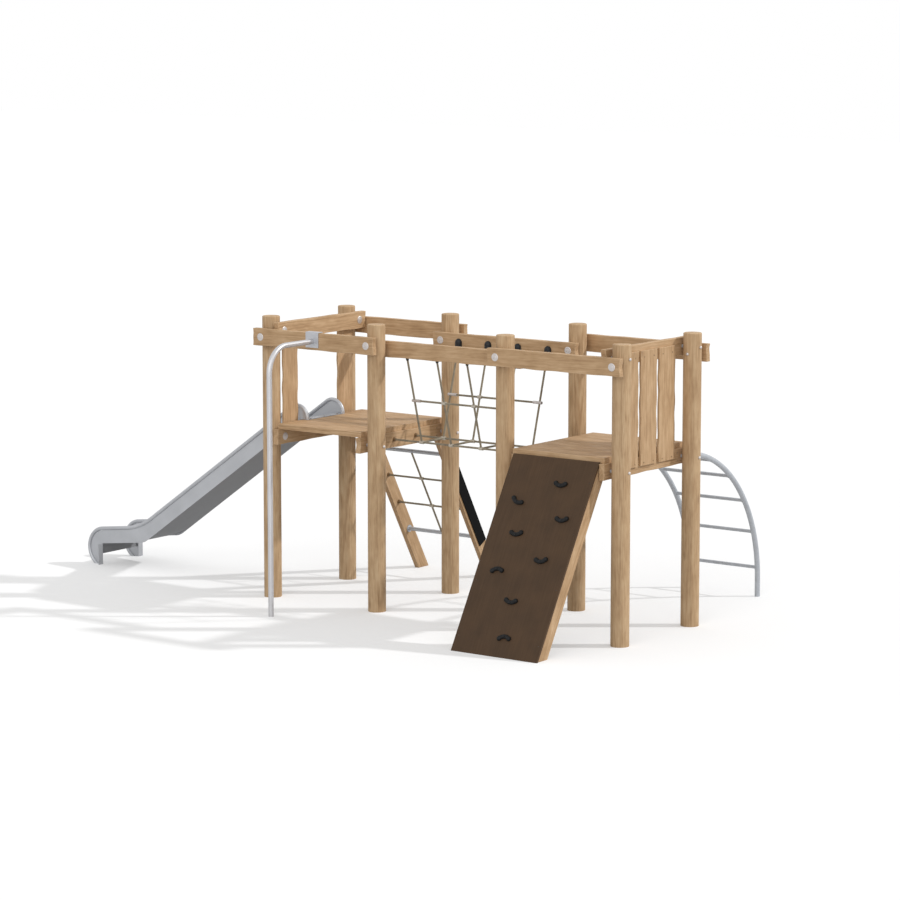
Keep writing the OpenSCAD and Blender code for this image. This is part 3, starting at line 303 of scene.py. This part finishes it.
# Bright tube: one clean soft highlight down its length
pole_steel = ground_steel("bright_stainless_tube", "#c8c7c9", "#bfbec0", metallic=0.6,
                          smooth=0.36, rough=0.44, grind=UP_TUBE, depth=0.02)
# Satin plate: between the sheet and the tube, with faint level lines
plate_steel = ground_steel("satin_stainless_plate", "#bfc0c4", "#b4b5b9", metallic=0.6,
                           smooth=0.4, rough=0.5, grind=LEVEL, depth=0.05)
# Hot dip zinc: a pale bluish grey with a barely seen patchwork of crystals
zinc = plated("galvanised_tube", "#b6babf", "#aaaeb4", crystal=14 * MM, metallic=0.35)
# Bright zinc: small pale discs that stand out from the timber
zinc_fixings = plated("zinc_plated_fixings", "#ccc6c3", "#bfb9b6", crystal=5 * MM, metallic=0.6)
# Coated screws and anchors: brown, so that they sink into the timber
bronze = plated("bronze_coated_screws", "#8d7353", "#7a6144", crystal=3 * MM, metallic=0.3)
# The same in a darker coat, so that they sink into the brown panel
dark_bronze = plated("dark_bronze_panel_screws", "#4a3826", "#3c2c1d", crystal=3 * MM, metallic=0.3)
# Pressed sleeves: a pale warm metal, just brighter than the rope
aluminium = plated("pressed_aluminium_sleeve", "#c3bcae", "#b1aa9c", crystal=4 * MM, metallic=0.3)
# Black oxide: dark bolts that are lost in the black holds
black_oxide = plated("black_oxide_bolts", "#2a2a2c", "#1c1c1e", crystal=3 * MM, metallic=0.4)
# Black polyamide: smooth, with a soft sheen
black_plastic = moulded("black_polyamide", "#26272a", "#151618", grit=1.2 * MM, relief=0.2 * MM,
                        smooth=0.4, rough=0.55, shine=0.3)
# Black resin: a gritty skin that breaks the highlight up
black_resin = moulded("black_resin_grit", "#18191b", "#0c0d0e", grit=1.6 * MM, relief=0.5 * MM,
                      smooth=0.45, rough=0.6, shine=0.22)
# Black rubber: matt, with hardly a highlight
black_rubber = moulded("black_rubber_strip", "#161617", "#0d0d0e", grit=2.5 * MM, relief=0.4 * MM,
                       smooth=0.75, rough=0.9, shine=0.08)
# Film faced ply: a dark, even brown with lighter edges
brown_panel = film_faced_ply("brown_film_faced_ply")
# Laid rope: a matt greyish beige
rope_yarn = laid_rope("beige_polyester_rope")


# Meshes made from the CAD nodes

MERGE = 0.01 * MM
SHARP = math.radians(38)
FLAT = math.radians(0.2)


def joined(mesh):
    """An editable copy of a mesh, with its loose triangles joined."""
    shape = bmesh.new()
    shape.from_mesh(mesh)
    bmesh.ops.remove_doubles(shape, verts=shape.verts, dist=MERGE)
    return shape


def settled(name, shape, *materials):
    """The mesh of an edited shape, with its materials."""
    mesh = bpy.data.meshes.new(name)
    shape.to_mesh(mesh)
    shape.free()
    for material in materials:
        mesh.materials.append(material)
    return mesh


def solids(shape):
    """The vertices of each separate solid in a shape."""
    left = set(shape.verts)
    found = []
    for start in shape.verts:
        if start not in left:
            continue
        left.discard(start)
        group, ahead = [start], [start]
        while ahead:
            for edge in ahead.pop().link_edges:
                for vert in edge.verts:
                    if vert in left:
                        left.discard(vert)
                        group.append(vert)
                        ahead.append(vert)
        found.append(group)
    return found


def placed(name, data):
    """A new object in the scene."""
    made = bpy.data.objects.new(name, data)
    bpy.context.scene.collection.objects.link(made)
    return made


def baked(blank):
    """The mesh of an object with its modifiers applied. The object itself is removed."""
    depsgraph = bpy.context.evaluated_depsgraph_get()
    mesh = bpy.data.meshes.new_from_object(blank.evaluated_get(depsgraph), depsgraph=depsgraph)
    bpy.data.objects.remove(blank)
    return mesh


def piece(name, mesh, slot, *replaced):
    """Puts a finished mesh into the scene on the frame, in place of the CAD nodes it stands for."""
    mesh.shade_smooth()
    mesh.set_sharp_from_angle(angle=SHARP)
    made = placed(name, mesh)
    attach(made, "root")
    if replaced:
        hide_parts(*replaced)
    return made


def ease(shape, width, shortest=14 * MM):
    """Rounds the long sharp edges and marks the rounded faces as worn."""
    bmesh.ops.dissolve_limit(shape, angle_limit=FLAT, verts=shape.verts, edges=shape.edges)
    edges = [e for e in shape.edges
             if len(e.link_faces) == 2 and e.calc_face_angle() > SHARP and e.calc_length() > shortest]
    rounded = bmesh.ops.bevel(shape, geom=edges, offset=width, segments=3, profile=0.5, affect="EDGES",
                              clamp_overlap=False)
    worn = shape.loops.layers.float.new("worn")
    for face in rounded["faces"]:
        for loop in face.loops:
            loop[worn] = 1.0


def even_shading(made):
    """Keeps an eased piece's flat faces flat, with the shading turned over its rounded edges alone."""
    made.modifiers.new("even_shading", "WEIGHTED_NORMAL").keep_sharp = True


def lay_grain(shape, along, across, pith, seed):
    """Gives each solid its own place in a log. Pith is how far the log's heart lies from its middle."""
    log_half, most_tilt = 9, 0.03
    draw = random.Random(seed)
    third = along.cross(across)
    layer = shape.verts.layers.float_vector.new("grain")
    for group in solids(shape):
        middle = sum((v.co for v in group), Vector()) / len(group)
        start = Vector((draw.uniform(-log_half, log_half), draw.uniform(-pith, pith),
                        draw.uniform(-pith, pith)))
        tilt = draw.uniform(-most_tilt, most_tilt)
        for vert in group:
            place = vert.co - middle
            run = place.dot(along)
            vert[layer] = start + Vector((run, place.dot(across) + tilt * run, place.dot(third)))


def timbers(names, along, across, pith, seed, rounding, material=oak, slot="timber"):
    """Timber cut in one way: the CAD nodes with eased edges, and each solid with its own grain."""
    for i, name in enumerate(names):
        shape = joined(NODES[name].data)
        if rounding:
            ease(shape, rounding)
        lay_grain(shape, along, across, pith, seed + i)
        even_shading(piece("oak_" + name, settled("oak_" + name, shape, material), slot, name))


POSTS = [f"post_{tower}_{row}_{side}"
         for tower in "ab" for row in ("front", "back") for side in ("left", "right")]
RAILS_X = ["rail_a_front", "rail_a_back", "rail_b_front", "rail_b_back",
           "bridge_beam_front", "bridge_beam_back"]
RAILS_Y = ["rail_a_left", "rail_b_right",
           "bearer_a_left", "bearer_a_right", "bearer_b_left", "bearer_b_right"]
HEADERS = ["header_a_back", "header_b_front", "header_b_back", "wall_battens"]
WALL_STRINGERS = ["wall_stringer_left", "wall_stringer_right"]
NET_STRINGERS = ["net_stringer_left", "net_stringer_right"]
# The posts take the paler oak, which is partly painted light
timbers(POSTS, UPRIGHT, ALONG_X, pith=60 * MM, seed=100, rounding=0, material=post_oak_painted_light)
timbers(RAILS_X, ALONG_X, UPRIGHT, pith=120 * MM, seed=200, rounding=3 * MM)
timbers(RAILS_Y, ALONG_Y, UPRIGHT, pith=120 * MM, seed=300, rounding=3 * MM)
timbers(HEADERS, ALONG_X, UPRIGHT, pith=120 * MM, seed=400, rounding=2 * MM, material=inner_oak,
        slot="inner_timber")
timbers(["deck_a", "deck_b"], ALONG_X, ALONG_Y, pith=140 * MM, seed=500, rounding=1.2 * MM)
timbers(["slide_boards", "wall_boards"], UPRIGHT, ALONG_Y, pith=140 * MM, seed=600, rounding=3 * MM)
timbers(WALL_STRINGERS, UP_WALL, ALONG_X, pith=110 * MM, seed=700, rounding=3 * MM)
timbers(NET_STRINGERS, UP_NET, ALONG_X, pith=110 * MM, seed=710, rounding=3 * MM)


def plates(name, node, rounding, material, slot):
    """Plates of one kind: the CAD node with eased edges."""
    shape = joined(NODES[node].data)
    ease(shape, rounding)
    even_shading(piece(name, settled(name, shape, material), slot, node))


plates("ply_climbing_panel", "climbing_panel", 1.5 * MM, brown_panel, "panel")
plates("rubber_net_covers", "net_covers", 2 * MM, black_rubber, "black_rubber")
plates("folded_pole_bracket", "pole_bracket", 1.5 * MM, plate_steel, "bright_steel")


def softened(name, node, passes, material):
    """A moulded piece: the CAD node with its joins blended, as in a mould with generous radii."""
    blank = placed(name + "_blank", settled(name, joined(NODES[node].data)))
    remesh = blank.modifiers.new("skin", "REMESH")
    remesh.mode = "VOXEL"
    remesh.voxel_size = 2.6 * MM
    smooth = blank.modifiers.new("soften", "SMOOTH")
    smooth.factor = 0.5
    smooth.iterations = passes
    skin = baked(blank)
    skin.materials.clear()
    skin.materials.append(material)
    piece(name, skin, "black_plastic", node)


softened("moulded_climbing_holds", "climbing_holds", 6, black_resin)
softened("moulded_rope_sockets", "rope_sockets", 4, black_plastic)


# Geometry node trees

def new_tree(name, sizes):
    """A geometry tree with a mesh in, a mesh out and named number inputs."""
    tree = bpy.data.node_groups.new(name, "GeometryNodeTree")
    tree.interface.new_socket("Geometry", in_out="INPUT", socket_type="NodeSocketGeometry")
    for label, value in sizes.items():
        kind = "NodeSocketInt" if isinstance(value, int) else "NodeSocketFloat"
        tree.interface.new_socket(label, in_out="INPUT", socket_type=kind).default_value = value
    tree.interface.new_socket("Geometry", in_out="OUTPUT", socket_type="NodeSocketGeometry")
    return tree, add(tree, "NodeGroupInput").outputs


def close_tree(tree, shape, material):
    """Ends a tree with real geometry in one material."""
    real = add(tree, "GeometryNodeRealizeInstances", {"Geometry": shape})
    painted = add(tree, "GeometryNodeSetMaterial", {"Geometry": real.outputs[0], "Material": material})
    add(tree, "NodeGroupOutput", {"Geometry": painted.outputs[0]})


def grown(name, mesh, tree):
    """The plain mesh that a tree makes of a mesh."""
    blank = placed(name + "_blank", mesh)
    blank.modifiers.new("grow", "NODES").node_group = tree
    made = baked(blank)
    made.name = name
    return made


def stranded_rope_tree(material):
    """Strands wound round each line of a mesh, as in a laid rope."""
    # A strand is a little thicker than the room between its neighbours, so that the strands touch
    strand_sides, swell = 7, 0.56
    tree, sizes = new_tree("stranded_rope", {
        "Rope diameter": 16 * MM, "Lay length": 96 * MM, "Ring spacing": 6 * MM, "Strands": 6})
    lines = add(tree, "GeometryNodeMeshToCurve", {"Mesh": sizes["Geometry"]})
    even = add(tree, "GeometryNodeResampleCurve", {
        "Curve": lines.outputs[0], "Length": sizes["Ring spacing"]}, mode="LENGTH")
    strands = add(tree, "GeometryNodeDuplicateElements", {
        "Geometry": even.outputs[0], "Amount": sizes["Strands"]}, domain="SPLINE")

    run = add(tree, "GeometryNodeSplineParameter").outputs["Length"]
    lays = add(tree, "ShaderNodeMath", {0: run, 1: sizes["Lay length"]}, operation="DIVIDE")
    share = add(tree, "ShaderNodeMath", {0: strands.outputs["Duplicate Index"], 1: sizes["Strands"]},
                operation="DIVIDE")
    turns = add(tree, "ShaderNodeMath", {0: lays.outputs[0], 1: share.outputs[0]}, operation="ADD")
    angle = add(tree, "ShaderNodeMath", {0: turns.outputs[0], 1: TURN}, operation="MULTIPLY")
    cosine = add(tree, "ShaderNodeMath", {0: angle.outputs[0]}, operation="COSINE").outputs[0]
    sine = add(tree, "ShaderNodeMath", {0: angle.outputs[0]}, operation="SINE").outputs[0]

    normal = add(tree, "GeometryNodeInputNormal").outputs[0]
    tangent = add(tree, "GeometryNodeInputTangent").outputs[0]
    side = add(tree, "ShaderNodeVectorMath", {0: tangent, 1: normal}, operation="CROSS_PRODUCT")
    ahead = add(tree, "ShaderNodeVectorMath", {0: normal, "Scale": cosine}, operation="SCALE")
    aside = add(tree, "ShaderNodeVectorMath", {0: side.outputs[0], "Scale": sine}, operation="SCALE")
    both = add(tree, "ShaderNodeVectorMath", {0: ahead.outputs[0], 1: aside.outputs[0]}, operation="ADD")
    third = add(tree, "ShaderNodeMath", {0: sizes["Rope diameter"], 1: 3.0}, operation="DIVIDE").outputs[0]
    offset = add(tree, "ShaderNodeVectorMath", {0: both.outputs[0], "Scale": third}, operation="SCALE")
    wound = add(tree, "GeometryNodeSetPosition", {
        "Geometry": strands.outputs[0], "Offset": offset.outputs[0]})

    half = add(tree, "ShaderNodeMath", {0: third, 1: swell}, operation="MULTIPLY")
    section = add(tree, "GeometryNodeCurvePrimitiveCircle", {
        "Resolution": strand_sides, "Radius": half.outputs[0]})
    tubes = add(tree, "GeometryNodeCurveToMesh", {
        "Curve": wound.outputs[0], "Profile Curve": section.outputs[0], "Fill Caps": True})
    close_tree(tree, tubes.outputs[0], material)
    return tree


def swept_tube_tree(diameter, material):
    """A round tube along a line."""
    tree, sizes = new_tree("swept_tube", {"Tube diameter": diameter, "Sides": 20})
    line = add(tree, "GeometryNodeMeshToCurve", {"Mesh": sizes["Geometry"]})
    half = add(tree, "ShaderNodeMath", {0: sizes["Tube diameter"], 1: 0.5}, operation="MULTIPLY")
    section = add(tree, "GeometryNodeCurvePrimitiveCircle", {
        "Resolution": sizes["Sides"], "Radius": half.outputs[0]})
    tube = add(tree, "GeometryNodeCurveToMesh", {
        "Curve": line.outputs[0], "Profile Curve": section.outputs[0], "Fill Caps": True})
    close_tree(tree, tube.outputs[0], material)
    return tree


def turned_fitting_tree(name, shape, material):
    """A turned piece on each point of a mesh, with its axis along the point's facing attribute."""
    tree, sizes = new_tree(name, {"Scale": 1.0})
    turned = add(tree, "GeometryNodeObjectInfo", {"Object": shape})
    facing = add(tree, "GeometryNodeInputNamedAttribute", {"Name": "facing"}, data_type="FLOAT_VECTOR")
    turn = add(tree, "FunctionNodeAlignRotationToVector", {"Vector": facing.outputs[0]}, axis="Z")
    spread = add(tree, "GeometryNodeInstanceOnPoints", {
        "Points": sizes["Geometry"], "Instance": turned.outputs["Geometry"], "Rotation": turn.outputs[0],
        "Scale": sizes["Scale"]})
    close_tree(tree, spread.outputs[0], material)
    return tree


# Lines and ends found on the CAD nodes

def solid_axes(name):
    """Each solid's axis: its two ends and the widest reach from the axis near each end."""
    near_end = 4 * MM
    found = []
    shape = joined(NODES[name].data)
    for group in solids(shape):
        points = np.array([v.co for v in group])
        middle = (points.min(0) + points.max(0)) / 2
        _, vectors = np.linalg.eigh(np.cov((points - points.mean(0)).T))
        axis = vectors[:, -1]
        run = (points - middle) @ axis
        reach = np.linalg.norm(points - middle - np.outer(run, axis), axis=1)
        wide = [reach[run < run.min() + near_end].max(), reach[run > run.max() - near_end].max()]
        found.append((Vector(middle + run.min() * axis), Vector(middle + run.max() * axis), wide))
    shape.free()
    return found


def line_mesh(name, lines):
    """Open lines as a mesh of edges."""
    mesh = bpy.data.meshes.new(name)
    points, edges = [], []
    for line in lines:
        edges += [(len(points) + i, len(points) + i + 1) for i in range(len(line) - 1)]
        points += line
    mesh.from_pydata(points, edges, [])
    return mesh


def point_mesh(name, spots):
    """Points with the direction that each one faces."""
    mesh = bpy.data.meshes.new(name)
    mesh.from_pydata([place for place, _ in spots], [], [])
    facing = mesh.attributes.new("facing", "FLOAT_VECTOR", "POINT")
    for i, (_, direction) in enumerate(spots):
        facing.data[i].vector = direction
    return mesh


def lathe(name, outline, sides):
    """A closed turned shape from an outline of (radius, height) that starts and ends on the axis."""
    shape = bmesh.new()
    angles = [TURN * i / sides for i in range(sides)]
    rings = []
    for radius, height in outline:
        used = angles if radius > 0 else angles[:1]
        rings.append([shape.verts.new((radius * math.cos(a), radius * math.sin(a), height)) for a in used])
    for low, high in zip(rings, rings[1:]):
        for i in range(sides):
            j = (i + 1) % sides
            corners = [low[i % len(low)], low[j % len(low)], high[j % len(high)], high[i % len(high)]]
            shape.faces.new(list(dict.fromkeys(corners)))
    bmesh.ops.recalc_face_normals(shape, faces=shape.faces)
    return bpy.data.objects.new(name, settled(name, shape))


# Ropes

rope_tree = stranded_rope_tree(rope_yarn)
ROPE_TUCK = 4 * MM
ROPES = ["bridge_hangers", "bridge_hand_ropes", "bridge_floor_ropes", "bridge_cross_ropes", "net_ropes"]
for name in ROPES:
    lines = []
    for low, high, _ in solid_axes(name):
        tuck = (high - low).normalized() * ROPE_TUCK
        lines.append([low - tuck, high + tuck])
    strands = grown("laid_" + name, line_mesh(name + "_lines", lines), rope_tree)
    piece("laid_" + name, strands, "rope", name)


# Bolt caps, with a turned groove, on their bolts

CAP_R, CAP_H = 30 * MM, 6 * MM
BOLT_R, BOLT_LEN = 6 * MM, 209 * MM
CAP_SIDES = 32
cap = lathe("bolt_cap_shape", [
    (0, CAP_H), (7 * MM, CAP_H - 0.15 * MM), (14 * MM, CAP_H - 0.6 * MM), (15.5 * MM, CAP_H - 1.7 * MM),
    (17 * MM, CAP_H - 1.7 * MM), (18.5 * MM, CAP_H - 1.1 * MM), (24 * MM, CAP_H - 2.0 * MM),
    (28.5 * MM, CAP_H - 3.1 * MM), (CAP_R, CAP_H - 4.2 * MM), (CAP_R, 0), (BOLT_R, 0), (BOLT_R, -BOLT_LEN),
    (0, -BOLT_LEN)], CAP_SIDES)
cap_tree = turned_fitting_tree("bolt_caps", cap, zinc_fixings)
spots = []
for low, high, wide in solid_axes("frame_bolts"):
    top, foot = (low, high) if wide[0] > wide[1] else (high, low)
    facing = (top - foot).normalized()
    spots.append((top - facing * CAP_H, facing))
caps = grown("turned_bolt_caps", point_mesh("bolt_spots", spots), cap_tree)
piece("turned_bolt_caps", caps, "fixings", "frame_bolts")


# Weld beads where the rungs meet the arched rails

RUNG_R = 13.5 * MM
BEAD_SIDES = 24
# The rails' end plates reach this far past the tubes on each side
PLATE_PAST_TUBE = 14 * MM
bead = lathe("weld_bead_shape", [
    (0, 2 * MM), (RUNG_R + 0.3 * MM, 2 * MM), (RUNG_R + 2 * MM, 0.8 * MM), (RUNG_R + 3 * MM, -1.5 * MM),
    (RUNG_R + 4 * MM, -6 * MM), (0, -6 * MM)], BEAD_SIDES)
bead_tree = turned_fitting_tree("weld_beads", bead, zinc)
LEFT_BEAD_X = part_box("arch_rail_left")[1].x - PLATE_PAST_TUBE
RIGHT_BEAD_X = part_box("arch_rail_right")[0].x + PLATE_PAST_TUBE
spots = []
for rung, _, _ in solid_axes("arch_rungs"):
    spots.append((Vector((LEFT_BEAD_X, rung.y, rung.z)), ALONG_X))
    spots.append((Vector((RIGHT_BEAD_X, rung.y, rung.z)), -ALONG_X))
beads = grown("rung_weld_beads", point_mesh("bead_spots", spots), bead_tree)
piece("rung_weld_beads", beads, "galvanised_steel")


# Slide: round rims swept along the sides, and a bed that is ground on its upper side only, with a darker
# underside that is partly painted shade

DECK_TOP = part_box("deck_a")[1].z
HOOD_C, HOOD_R = Vector((54 * MM, DECK_TOP + 6 * MM)), 118 * MM
NOSE_R, NOSE_Z, SLIDE_REACH = 180 * MM, 140 * MM, 2210 * MM
NOSE_C = Vector((NOSE_R - SLIDE_REACH, NOSE_Z))
VALLEY_R, RUN_OUT, EXIT = 540 * MM, 278 * MM, math.radians(6.5)
RIM_D = 31 * MM
# A rim is cut at the ground on the low side of the first place, and at the deck past the second
LOW_END_X, TOP_END_X = -1.0, 60 * MM


def heading(angle):
    """The direction at an angle, in x and z."""
    return Vector((math.cos(angle), math.sin(angle)))


VALLEY_C = NOSE_C + (NOSE_R + VALLEY_R) * heading(EXIT + math.pi / 2) + RUN_OUT * heading(EXIT)
MAIN_RUN = VALLEY_C - HOOD_C
SLOPE = math.pi + math.atan2(MAIN_RUN.y, MAIN_RUN.x) + math.asin((HOOD_R + VALLEY_R) / MAIN_RUN.length)


def arc(centre, radius, start, end, steps):
    """Points along an arc, in x and z."""
    return [centre + radius * heading(start + (end - start) * i / steps) for i in range(steps + 1)]


def rim_route(inset):
    """The rim's line from below the deck's surface to below the ground, inset from its outer edge."""
    past = 40 * MM
    hood_r, nose_r = HOOD_R - inset, NOSE_R - inset
    first = Vector((HOOD_C.x + hood_r, DECK_TOP - past))
    ground = math.pi + math.asin(NOSE_Z / nose_r)
    last = NOSE_C + nose_r * heading(ground) + past * heading(ground + math.pi / 2)
    return [first, *arc(HOOD_C, hood_r, 0, math.pi / 2 + SLOPE, 30),
            *arc(VALLEY_C, VALLEY_R + inset, SLOPE - math.pi / 2, EXIT - math.pi / 2, 20),
            *arc(NOSE_C, nose_r, math.pi / 2 + EXIT, ground, 36), last]


def cut_level(shape, part, height):
    """Cuts a part of a shape level at a height, removes what is below and closes the cut."""
    geom = {f for v in part for f in v.link_faces} | {e for v in part for e in v.link_edges} | set(part)
    cut = bmesh.ops.bisect_plane(shape, geom=list(geom), plane_co=(0, 0, height), plane_no=(0, 0, 1),
                                 clear_inner=True)
    rim = [e for e in cut["geom_cut"] if isinstance(e, bmesh.types.BMEdge)]
    bmesh.ops.holes_fill(shape, edges=rim)


tube_tree = swept_tube_tree(RIM_D, slide_steel)
for side in ["near", "far"]:
    node = "slide_rim_" + side
    low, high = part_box(node)
    middle_y = (low.y + high.y) / 2
    route = [Vector((p.x, middle_y, p.y)) for p in rim_route(RIM_D / 2)]
    rim = joined(grown("rolled_" + node, line_mesh(node + "_line", [route]), tube_tree))
    cut_level(rim, [v for v in rim.verts if v.co.x <= LOW_END_X], 0.0)
    cut_level(rim, [v for v in rim.verts if v.co.x > TOP_END_X], DECK_TOP)
    bmesh.ops.recalc_face_normals(rim, faces=rim.faces)
    piece("rolled_" + node, settled("rolled_" + node, rim, slide_steel), "slide_steel", node)

# Faces that look down, or back at the tower, are left unground and take the darker underside steel, which
# is partly painted shade
bed = joined(NODES["slide_bed"].data)
for face in bed.faces:
    face.material_index = int(face.normal.z < -0.2 or face.normal.x > 0.9)
bed_mesh = settled("folded_slide_bed", bed, slide_steel, mill_steel_painted_shade)
piece("folded_slide_bed", bed_mesh, "slide_steel", "slide_bed")


# Wood screws, with darker heads on the climbing panel

PANEL_LOW, PANEL_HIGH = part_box("climbing_panel")
HEAD_REACH = 4 * MM
screws = joined(NODES["wood_screws"].data)
for group in solids(screws):
    spot = sum((v.co for v in group), Vector()) / len(group)
    on_panel = all(PANEL_LOW[i] - HEAD_REACH < spot[i] < PANEL_HIGH[i] + HEAD_REACH for i in range(3))
    for face in {f for v in group for f in v.link_faces}:
        face.material_index = int(on_panel)
screw_mesh = settled("coated_wood_screws", screws, bronze, dark_bronze)
piece("coated_wood_screws", screw_mesh, "fixings", "wood_screws")


# CAD nodes that keep their shape

KEPT = {
    pole_steel: ["fire_pole"],
    slide_steel: ["slide_cheek_near", "slide_cheek_far"],
    zinc: ["net_tubes", "arch_rail_left", "arch_rail_right", "arch_rungs", "frame_spacers"],
    zinc_fixings: ["frame_nuts", "tee_ferrules"],
    bronze: ["rope_anchors"],
    aluminium: ["rope_sleeves"],
    black_oxide: ["hold_bolts"],
}
for material, names in KEPT.items():
    for name in names:
        NODES[name].data.materials.clear()
        NODES[name].data.materials.append(material)


# Stage: white floor, soft light from the right and the photograph's camera

FLOOR_HALF = 60.0
CAMERA_AT = (16.860, -20.465, 5.064)
CAMERA_TURN = math.radians(36.445)
CAMERA_TILT = math.radians(8.3605)
SUN_HEIGHT = math.radians(35.6)
KEY_TOWARDS = (math.cos(CAMERA_TURN), math.sin(CAMERA_TURN), math.tan(SUN_HEIGHT))
FILL_TOWARDS = (0.45, -0.9, 0.28)


def seen_rays(tree):
    """One for rays that show a surface to the eye, also in a reflection, and zero for light alone."""
    path = add(tree, "ShaderNodeLightPath").outputs
    seen = add(tree, "ShaderNodeMath", {0: path["Is Camera Ray"], 1: path["Is Glossy Ray"]},
               operation="ADD")
    return add(tree, "ShaderNodeMath", {0: seen.outputs[0], 1: path["Is Transmission Ray"]},
               operation="ADD", use_clamp=True).outputs[0]


def white_floor():
    """Seamless white paper, which keeps the object's shadow and sends little light back up."""
    made = bpy.data.materials.new("white_paper")
    made.use_nodes = True
    tree = made.node_tree
    tree.nodes.clear()
    paper = add(tree, "ShaderNodeBsdfDiffuse", {"Color": (0.45, 0.45, 0.45, 1)})
    pale = add(tree, "ShaderNodeBsdfDiffuse", {"Color": (0.7, 0.7, 0.7, 1)})
    glow = add(tree, "ShaderNodeEmission", {"Strength": 0.27})
    lifted = add(tree, "ShaderNodeAddShader", {0: pale.outputs[0], 1: glow.outputs[0]})
    both = add(tree, "ShaderNodeMixShader", {
        0: seen_rays(tree), 1: paper.outputs[0], 2: lifted.outputs[0]})
    add(tree, "ShaderNodeOutputMaterial", {"Surface": both.outputs[0]})
    return made


def white_world(strength):
    """Even light all round, with a white background behind the object."""
    world = bpy.data.worlds.new("studio")
    bpy.context.scene.world = world
    world.use_nodes = True
    tree = world.node_tree
    tree.nodes.clear()
    level = add(tree, "ShaderNodeMapRange", {
        "Value": seen_rays(tree), "To Min": strength, "To Max": 1.0})
    light = add(tree, "ShaderNodeBackground", {"Color": (1, 1, 1, 1), "Strength": level.outputs[0]})
    add(tree, "ShaderNodeOutputWorld", {"Surface": light.outputs[0]})


def sun(name, towards, strength, spread):
    """A distant lamp in a direction, with soft edged shadows."""
    lamp = bpy.data.lights.new(name, "SUN")
    lamp.energy = strength
    lamp.angle = math.radians(spread)
    placed(name, lamp).rotation_euler = Vector(towards).to_track_quat("Z", "Y").to_euler()


corners = [(x * FLOOR_HALF, y * FLOOR_HALF, 0) for x, y in ((-1, -1), (1, -1), (1, 1), (-1, 1))]
floor_mesh = bpy.data.meshes.new("floor")
floor_mesh.from_pydata(corners, [], [(0, 1, 2, 3)])
floor_mesh.materials.append(white_floor())
floor = placed("floor", floor_mesh)

white_world(strength=0.66)
sun("key_light", KEY_TOWARDS, strength=1.8, spread=2)
sun("front_fill", FILL_TOWARDS, strength=1.2, spread=60)

lens = bpy.data.cameras.new("photo_camera")
lens.lens = 135.5
lens.sensor_width = 36.0
lens.clip_end = 200.0
camera = placed("photo_camera", lens)
camera.location = CAMERA_AT
camera.rotation_euler = (math.pi / 2 - CAMERA_TILT, 0, CAMERA_TURN)
bpy.context.scene.camera = camera
bpy.context.scene.view_settings.view_transform = "Standard"
